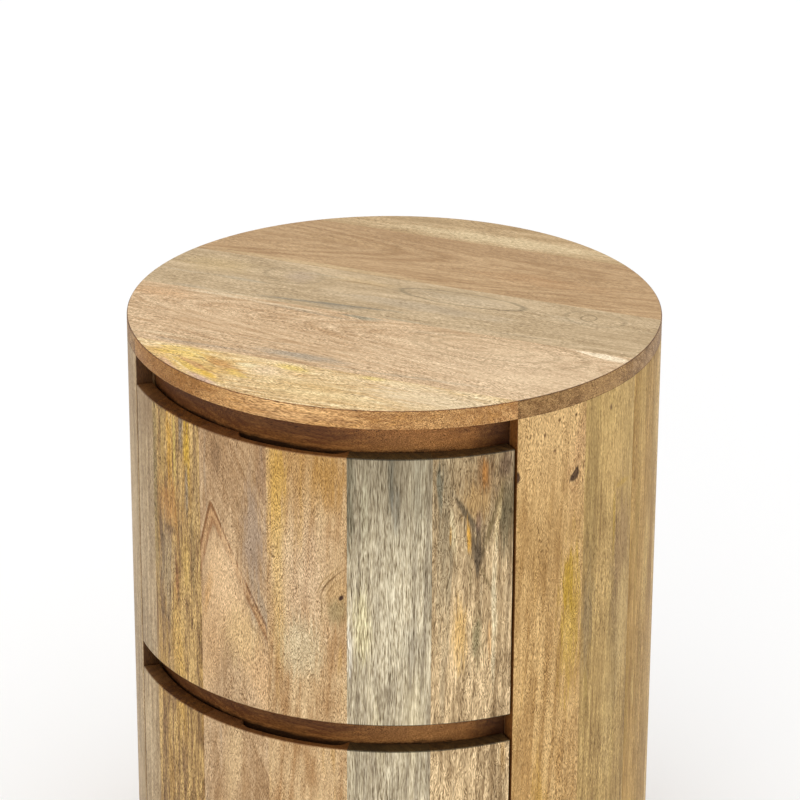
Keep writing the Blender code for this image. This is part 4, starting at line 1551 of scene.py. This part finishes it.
@dataclass
class NightstandTop(RoundBoard):
    """The top: five planks from back to front."""

    nodes: tuple[str, ...] = tuple(f"top_plank_{index}" for index in range(1, 6))

    def build(self) -> None:
        """Build and dress the planks."""
        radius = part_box("base_panel")[1].x
        for node, face_timber, rim_timber in zip(self.nodes, TOP_TIMBERS, RIM_TIMBERS):
            low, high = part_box(node)
            span = (max(low.y - GLUE_LINE / 2, -radius), min(high.y + GLUE_LINE / 2, radius))
            piece = self.plank(f"{node}_board", radius, span, (top_underside(), high.z))
            lay = BoardLay.flat((low.y + high.y) / 2, high.z)
            dress(piece, *self.finishes(node, face_timber, rim_timber, lay))
            hand_over(piece, Slot.TOP, node)


@dataclass
class NightstandBase(RoundBoard):
    """The base: one round board glued up from planks, as one piece."""

    node: str = "base_panel"
    joints: tuple[float, ...] = (-1.0, -0.47, 0.02, 0.51, 1.0)

    def build(self) -> None:
        """Build the planks, join them and dress them."""
        low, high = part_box(self.node)
        radius = high.x
        whole = bmesh.new()
        materials: list[Material] = []
        planks = zip(self.joints, self.joints[1:], BASE_TIMBERS, RIM_TIMBERS)
        for number, (start, end, face_timber, rim_timber) in enumerate(planks, 1):
            span = (start * radius, end * radius)
            plank = self.plank("base_plank", radius, span, (low.z, high.z))
            for face in plank.data.polygons:
                face.material_index += len(materials)
            whole.from_mesh(plank.data)
            bpy.data.objects.remove(plank)
            lay = BoardLay.flat(sum(span) / 2, high.z)
            materials += self.finishes(f"base_plank_{number}", face_timber, rim_timber, lay)
        piece = from_bmesh("base_board", whole)
        dress(piece, *materials)
        hand_over(piece, Slot.WALL, self.node)


@dataclass
class StaveWall(StaveRow):
    """The ring of upright staves from the right jamb round the back to the left jamb."""

    count: int = 15
    left_seed: float = 40.0
    # The left jamb's ends are darker still: painted shade in the drawer opening.
    left_end_shares: Triple = (0.46, 0.34, 0.2)
    seed_step: float = 3.7
    first_strewing: int = 60
    streaks: int = 12
    used_once: int = 2
    knots: dict[int, tuple[Mark, ...]] = field(default_factory=lambda: {
        6: knot(-12.0, 398.0, 3.6), 7: knot(16.0, 150.0, 2.4), 9: knot(9.0, 262.0, 4.6),
        10: knot(-20.0, 455.0, 2.0), 12: knot(-4.0, 120.0, 3.8) + knot(18.0, 430.0, 1.8)})

    def timber(self, index: int) -> Timber:
        """Choose one stave's finish: a photographed one, one of the others in turn, or the left jamb's grey.

        Args:
            index: Place of the stave, from the right jamb on.

        Returns:
            Its finish.
        """
        if index < len(WALL_TIMBERS):
            return WALL_TIMBERS[index]
        if index == self.count - 1:
            return replace(FRONT_TIMBERS[0], seed=self.left_seed, end_shares=self.left_end_shares)
        again = WALL_TIMBERS[self.used_once + index % (len(WALL_TIMBERS) - self.used_once)]
        colours = tuple(mark.colour for mark in again.marks)
        marks = scattered(self.first_strewing + index, colours, self.streaks)
        seed = again.seed + self.seed_step * index
        return replace(again, seed=seed, marks=marks + self.knots.get(index, ()))

    def build(self) -> None:
        """Build and dress the staves, each seated between the base and the top."""
        nodes = [f"wall_stave_{index + 1:02d}" for index in range(self.count)]
        timbers = tuple(self.timber(index) for index in range(self.count))
        self.build_row(nodes, timbers, Slot.WALL, [], low=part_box("base_panel")[1].z, high=top_underside())


@dataclass
class Carcass:
    """The curved rails and the upright panels inside the drum."""

    tree: CurvedBoardTree
    rails: tuple[str, ...] = ("top_rail", "middle_rail")
    panels: tuple[str, ...] = ("left_side_panel", "right_side_panel")
    rail_ease: float = 0.8 * MM
    panel_ease: float = 0.5 * MM

    def build(self) -> None:
        """Build and dress the rails and panels."""
        ease = Ease(self.rail_ease, self.panel_ease, self.panel_ease)
        for node in self.rails:
            sector = Sector.of(node)
            if node == "top_rail":
                sector = replace(sector, high=top_underside())
            material = RAIL_TIMBER.material(f"{node}_timber", BoardLay.level(-sector.outer, sector.low))
            piece = self.tree.board(f"{node}_board", sector, ease, material)
            hand_over(settle(piece), Slot.INNER, node)
        for node in self.panels:
            low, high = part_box(node)
            turn, face = (1.0, high.x) if low.x < 0 else (-1.0, low.x)
            lay = BoardLay((0.0, turn, 0.0), (0.0, 0.0, 1.0), (face, 0.0, 0.0))
            material = PANEL_TIMBER.material(f"{node}_timber", lay)
            build_copy(f"{node}_board", node, self.panel_ease, material, Slot.INNER)


@dataclass
class FingerScoop:
    """The oval scoop behind a front's top edge, where fingers pull the drawer."""

    width: float = 96 * MM
    depth: float = 8.5 * MM
    height: float = 20 * MM
    end_length: float = 14 * MM
    end_turn: float = math.radians(86)
    section_points: int = 48
    end_stations: int = 12
    middle_stations: int = 25

    def stations(self, radius: float) -> list[Pair]:
        """Space the sections of the scoop.

        Args:
            radius: Radius of the front's back face.

        Returns:
            Angles along the scoop, each with the share of its full section there.
        """
        end = self.end_length / radius
        full = self.width / 2 / radius - end
        turns = [self.end_turn * (1 - step / self.end_stations) for step in range(self.end_stations)]
        rising = [(-full - end * math.sin(turn), math.cos(turn)) for turn in turns]
        last = self.middle_stations - 1
        level = [(full * (2 * step / last - 1), 1.0) for step in range(self.middle_stations)]
        return rising + level + [(-angle, share) for angle, share in reversed(rising)]

    def cutter(self, radius: float, top: float) -> Piece:
        """Make the shape that is cut away.

        Args:
            radius: Radius of the front's back face.
            top: Height of the front's top edge.

        Returns:
            The cutter.
        """
        shape = bmesh.new()
        rings = []
        for angle, share in self.stations(radius):
            ring = []
            for step in range(self.section_points):
                turn = math.tau * step / self.section_points
                reach = radius + self.depth * share * math.cos(turn)
                up = top + self.height * share * math.sin(turn)
                ring.append(shape.verts.new((reach * math.sin(angle), -reach * math.cos(angle), up)))
            rings.append(ring)
        for one, two in zip(rings, rings[1:]):
            for step in range(self.section_points):
                after = (step + 1) % self.section_points
                shape.faces.new((one[step], one[after], two[after], two[step]))
        shape.faces.new(rings[0])
        shape.faces.new(rings[-1])
        bmesh.ops.recalc_face_normals(shape, faces=shape.faces)
        return from_bmesh("scoop_cutter", shape)


@dataclass
class Drawer(StaveRow):
    """One drawer: its curved stave front, and the box behind it."""

    level: str = "upper"
    level_ease: float = 0.9 * MM
    end_ease: float = 0.9 * MM
    scoop: FingerScoop = field(default_factory=FingerScoop)
    groove_room: float = 0.3 * MM
    groove_mouth: float = 6 * MM
    box_ease: float = 0.8 * MM
    bottom_ease: float = 0.2 * MM
    seed_rise: float = 50.0

    def build(self) -> None:
        """Build and dress the front and the box."""
        self.build_front()
        self.build_box()

    def groove_cutter(self, inner: float) -> Piece:
        """Make the shape of the groove that takes the bottom's edge, with a little room round it.

        Args:
            inner: Radius of the front's back face.

        Returns:
            The cutter.
        """
        room = self.groove_room
        low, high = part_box(f"{self.level}_drawer_bottom")
        reach = math.asin((high.x + room) / inner)
        sector = Sector(inner - self.groove_mouth, -low.y + room, -reach, reach, low.z - room, high.z + room)
        return settle(self.tree.board("groove_cutter", sector, Ease(0.0, 0.0, 0.0), None))

    def build_front(self) -> None:
        """Build and dress the front's staves, with the finger scoop and the groove cut from their backs."""
        nodes = [f"{self.level}_drawer_front_stave_{index + 1}" for index in range(len(FRONT_TIMBERS))]
        end_stave = Sector.of(nodes[0])
        cutters = [self.scoop.cutter(end_stave.inner, end_stave.high), self.groove_cutter(end_stave.inner)]
        self.build_row(nodes, FRONT_TIMBERS, Slot.FRONT, cutters)
        for cutter in cutters:
            bpy.data.objects.remove(cutter)

    def build_box(self) -> None:
        """Build and dress the box's sides, back and bottom."""
        for label in ("left_side", "right_side", "back", "bottom"):
            node = f"{self.level}_drawer_{label}"
            low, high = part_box(node)
            timber, slot, ease = BOX_TIMBER, Slot.BOX, self.box_ease
            lay = BoardLay.sideways(low.x, low.z)
            if label == "back":
                lay = BoardLay.level(low.y, low.z)
            elif label == "bottom":
                timber, slot, ease = PLY_TIMBER, Slot.BOTTOM, self.bottom_ease
                lay = BoardLay.flat(0.0, high.z)
            timber = replace(timber, seed=timber.seed + len(node) + low.z * self.seed_rise)
            build_copy(f"{node}_board", node, ease, timber.material(f"{node}_timber", lay), slot)


class ScrewRowTree(ShapeTree):
    """Geometry nodes that set a row of countersunk cross-head screws along a slide."""

    head_corners = 28
    foot_share = 0.55

    def __init__(self) -> None:
        """Build the tree once."""
        super().__init__("screw_row", {
            "Int": ("Count",), "Vector": ("Start", "Step"),
            "Float": ("Turn", "Head Radius", "Head Height", "Cross Length", "Cross Width", "Cross Depth")})

    def shape(self) -> Socket:
        """The row of screws.

        Returns:
            Their heads, as instances.
        """
        sketch, given = self.sketch, self.sketch.given
        places = {"Count": given("Count"), "Start Location": given("Start"), "Offset": given("Step")}
        line = sketch.add("GeometryNodeMeshLine", places, mode="OFFSET")
        turned = sketch.join(0.0, given("Turn"), 0.0)
        return sketch.add("GeometryNodeInstanceOnPoints", {
            "Points": line.outputs[0], "Instance": self.head(), "Rotation": turned}).outputs[0]

    def head(self) -> Socket:
        """Make one screw head with its cross recess.

        Returns:
            Its mesh, with its face at the origin.
        """
        sketch, given = self.sketch, self.sketch.given
        radius, height = given("Head Radius"), given("Head Height")
        length, width = given("Cross Length"), given("Cross Width")
        cone = sketch.add("GeometryNodeMeshCone", {
            "Vertices": self.head_corners, "Radius Top": radius,
            "Radius Bottom": sketch.times(radius, self.foot_share), "Depth": height})
        cut = sketch.add("GeometryNodeTransform", {
            "Geometry": cone.outputs["Mesh"],
            "Translation": sketch.join(0.0, 0.0, sketch.times(height, -1.0))}).outputs[0]
        deep = sketch.times(given("Cross Depth"), 2.0)
        for x, y in ((length, width), (width, length)):
            bar = sketch.add("GeometryNodeMeshCube", {"Size": sketch.join(x, y, deep)})
            boolean = sketch.add("GeometryNodeMeshBoolean", operation="DIFFERENCE", solver="EXACT")
            sketch.feed(boolean.inputs["Mesh 1"], cut)
            sketch.feed(boolean.inputs["Mesh 2"], bar.outputs["Mesh"])
            cut = boolean.outputs["Mesh"]
        return cut


@dataclass
class SlidePair:
    """The left and right telescopic slide of one drawer, and their screws."""

    level: str
    screws: ScrewRowTree
    bend: float = 0.35 * MM
    sheet: float = 1.2 * MM
    slot_inset: float = 32 * MM
    screw_count: int = 3
    head_radius: float = 2.2 * MM
    head_height: float = 0.9 * MM
    cross_length: float = 2.4 * MM
    cross_width: float = 0.5 * MM
    cross_depth: float = 0.5 * MM
    finish: ZincSteel = field(default_factory=ZincSteel)

    def build(self) -> None:
        """Build and dress the members and screws of both slides."""
        for side in ("left", "right"):
            for member in ("cabinet", "middle", "drawer"):
                node = f"{self.level}_{side}_slide_{member}"
                zinc = self.finish.material(f"{node}_zinc")
                build_copy(f"{node}_channel", node, self.bend, zinc, Slot.STEEL)
                if member != "middle":
                    self.build_screws(node, member == "cabinet")

    def build_screws(self, node: str, on_cabinet: bool) -> None:
        """Set the screws in the slots of one member, their heads towards the inside of the slide.

        Args:
            node: The member's node.
            on_cabinet: Whether it is the cabinet's member, whose web is on the outer side.
        """
        low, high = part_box(node)
        web_right = (low.x > 0) == on_cabinet
        face = high.x - self.sheet if web_right else low.x + self.sheet
        first = low.y + self.slot_inset
        pitch = (high.y - self.slot_inset - first) / (self.screw_count - 1)
        row = settle(self.screws.grown(f"{node}_screws", {
            **numbers(self), "Count": self.screw_count, "Start": (face, first, (low.z + high.z) / 2),
            "Step": (0.0, pitch, 0.0), "Turn": math.radians(-90 if web_right else 90),
            "Material": self.finish.material(f"{node}_screw_zinc")}))
        hand_over(row, Slot.STEEL, node, replaces=False)


@dataclass
class Studio:
    """White floor, soft light all round, and the camera of the photograph."""

    floor_half: float = 30.0
    sky_low: float = 0.55
    sky_high: float = 1.35
    key_power: float = 15.0
    key_size: float = 1.8
    key_distance: float = 3.0
    key_azimuth: float = math.radians(8.0)
    key_height: float = math.radians(14.0)
    key_aim: float = 0.4
    azimuth: float = math.radians(23.0)
    distance: float = 2.89
    height: float = 1.6924
    yaw: float = math.radians(0.0999)
    pitch: float = math.radians(22.843)
    roll: float = math.radians(0.285)
    lens: float = 165.82
    sensor: float = 36.0

    def build(self) -> None:
        """Build the floor, the lights and the camera."""
        self.build_floor()
        self.build_sky()
        self.build_key()
        self.build_camera()

    def build_floor(self) -> None:
        """Lay the floor."""
        half = self.floor_half
        mesh = bpy.data.meshes.new("studio_floor")
        mesh.from_pydata([(-half, -half, 0.0), (half, -half, 0.0), (half, half, 0.0), (-half, half, 0.0)],
                         [], [(0, 1, 2, 3)])
        floor = add_object("studio_floor", mesh)
        dress(floor, StudioPaint().material())

    def build_sky(self) -> None:
        """Light the scene from all round, most from above, and show its colours without a film curve."""
        world = bpy.data.worlds.new("studio_sky")
        world.use_nodes = True
        sketch = Sketch(world.node_tree)
        up = sketch.split(sketch.add("ShaderNodeTexCoord").outputs["Generated"])[2]
        rise = sketch.add("ShaderNodeMapRange", {
            "Value": up, "From Min": 0.0, "From Max": 1.0, "To Min": self.sky_low, "To Max": self.sky_high})
        sky = world.node_tree.nodes["Background"]
        sky.inputs["Color"].default_value = (1.0, 1.0, 1.0, 1.0)
        sketch.feed(sky.inputs["Strength"], rise.outputs[0])
        bpy.context.scene.world = world
        bpy.context.scene.view_settings.view_transform = "Standard"

    def build_key(self) -> None:
        """Set a large soft lamp low in front."""
        lamp = bpy.data.lights.new("key_light", "AREA")
        lamp.shape = "DISK"
        lamp.size = self.key_size
        lamp.energy = self.key_power
        level = self.key_distance * math.cos(self.key_height)
        aim = Vector((0.0, 0.0, self.key_aim))
        place = aim + Vector((level * math.sin(self.key_azimuth), -level * math.cos(self.key_azimuth),
                              self.key_distance * math.sin(self.key_height)))
        turn = (aim - place).to_track_quat("-Z", "Y")
        key = add_object("key_light", lamp)
        key.matrix_world = Matrix.Translation(place) @ turn.to_matrix().to_4x4()

    def build_camera(self) -> None:
        """Set the camera where the photograph was taken from."""
        ahead = Vector((math.sin(self.yaw) * math.cos(self.pitch), math.cos(self.yaw) * math.cos(self.pitch),
                        -math.sin(self.pitch)))
        level = Vector((math.cos(self.yaw), -math.sin(self.yaw), 0.0))
        upright = level.cross(ahead)
        right = math.cos(self.roll) * level + math.sin(self.roll) * upright
        above = math.cos(self.roll) * upright - math.sin(self.roll) * level
        turn = Matrix((right, above, -ahead)).transposed()
        lens = bpy.data.cameras.new("camera")
        lens.lens = self.lens
        lens.sensor_width = self.sensor
        camera = add_object("camera", lens)
        place = Matrix.Translation((0.0, -self.distance, self.height)) @ turn.to_4x4()
        camera.matrix_world = Matrix.Rotation(self.azimuth, 4, "Z") @ place
        bpy.context.scene.camera = camera


def main() -> None:
    """Build the nightstand's looks, piece by piece."""
    logging.basicConfig(level=logging.INFO, format="%(name)s: %(message)s")
    curved = CurvedBoardTree()
    screws = ScrewRowTree()
    NightstandTop().build()
    NightstandBase().build()
    StaveWall(curved).build()
    Carcass(curved).build()
    for level in ("upper", "lower"):
        Drawer(curved, level=level).build()
        SlidePair(level, screws).build()
    Studio().build()


if __name__ == "__main__":
    main()
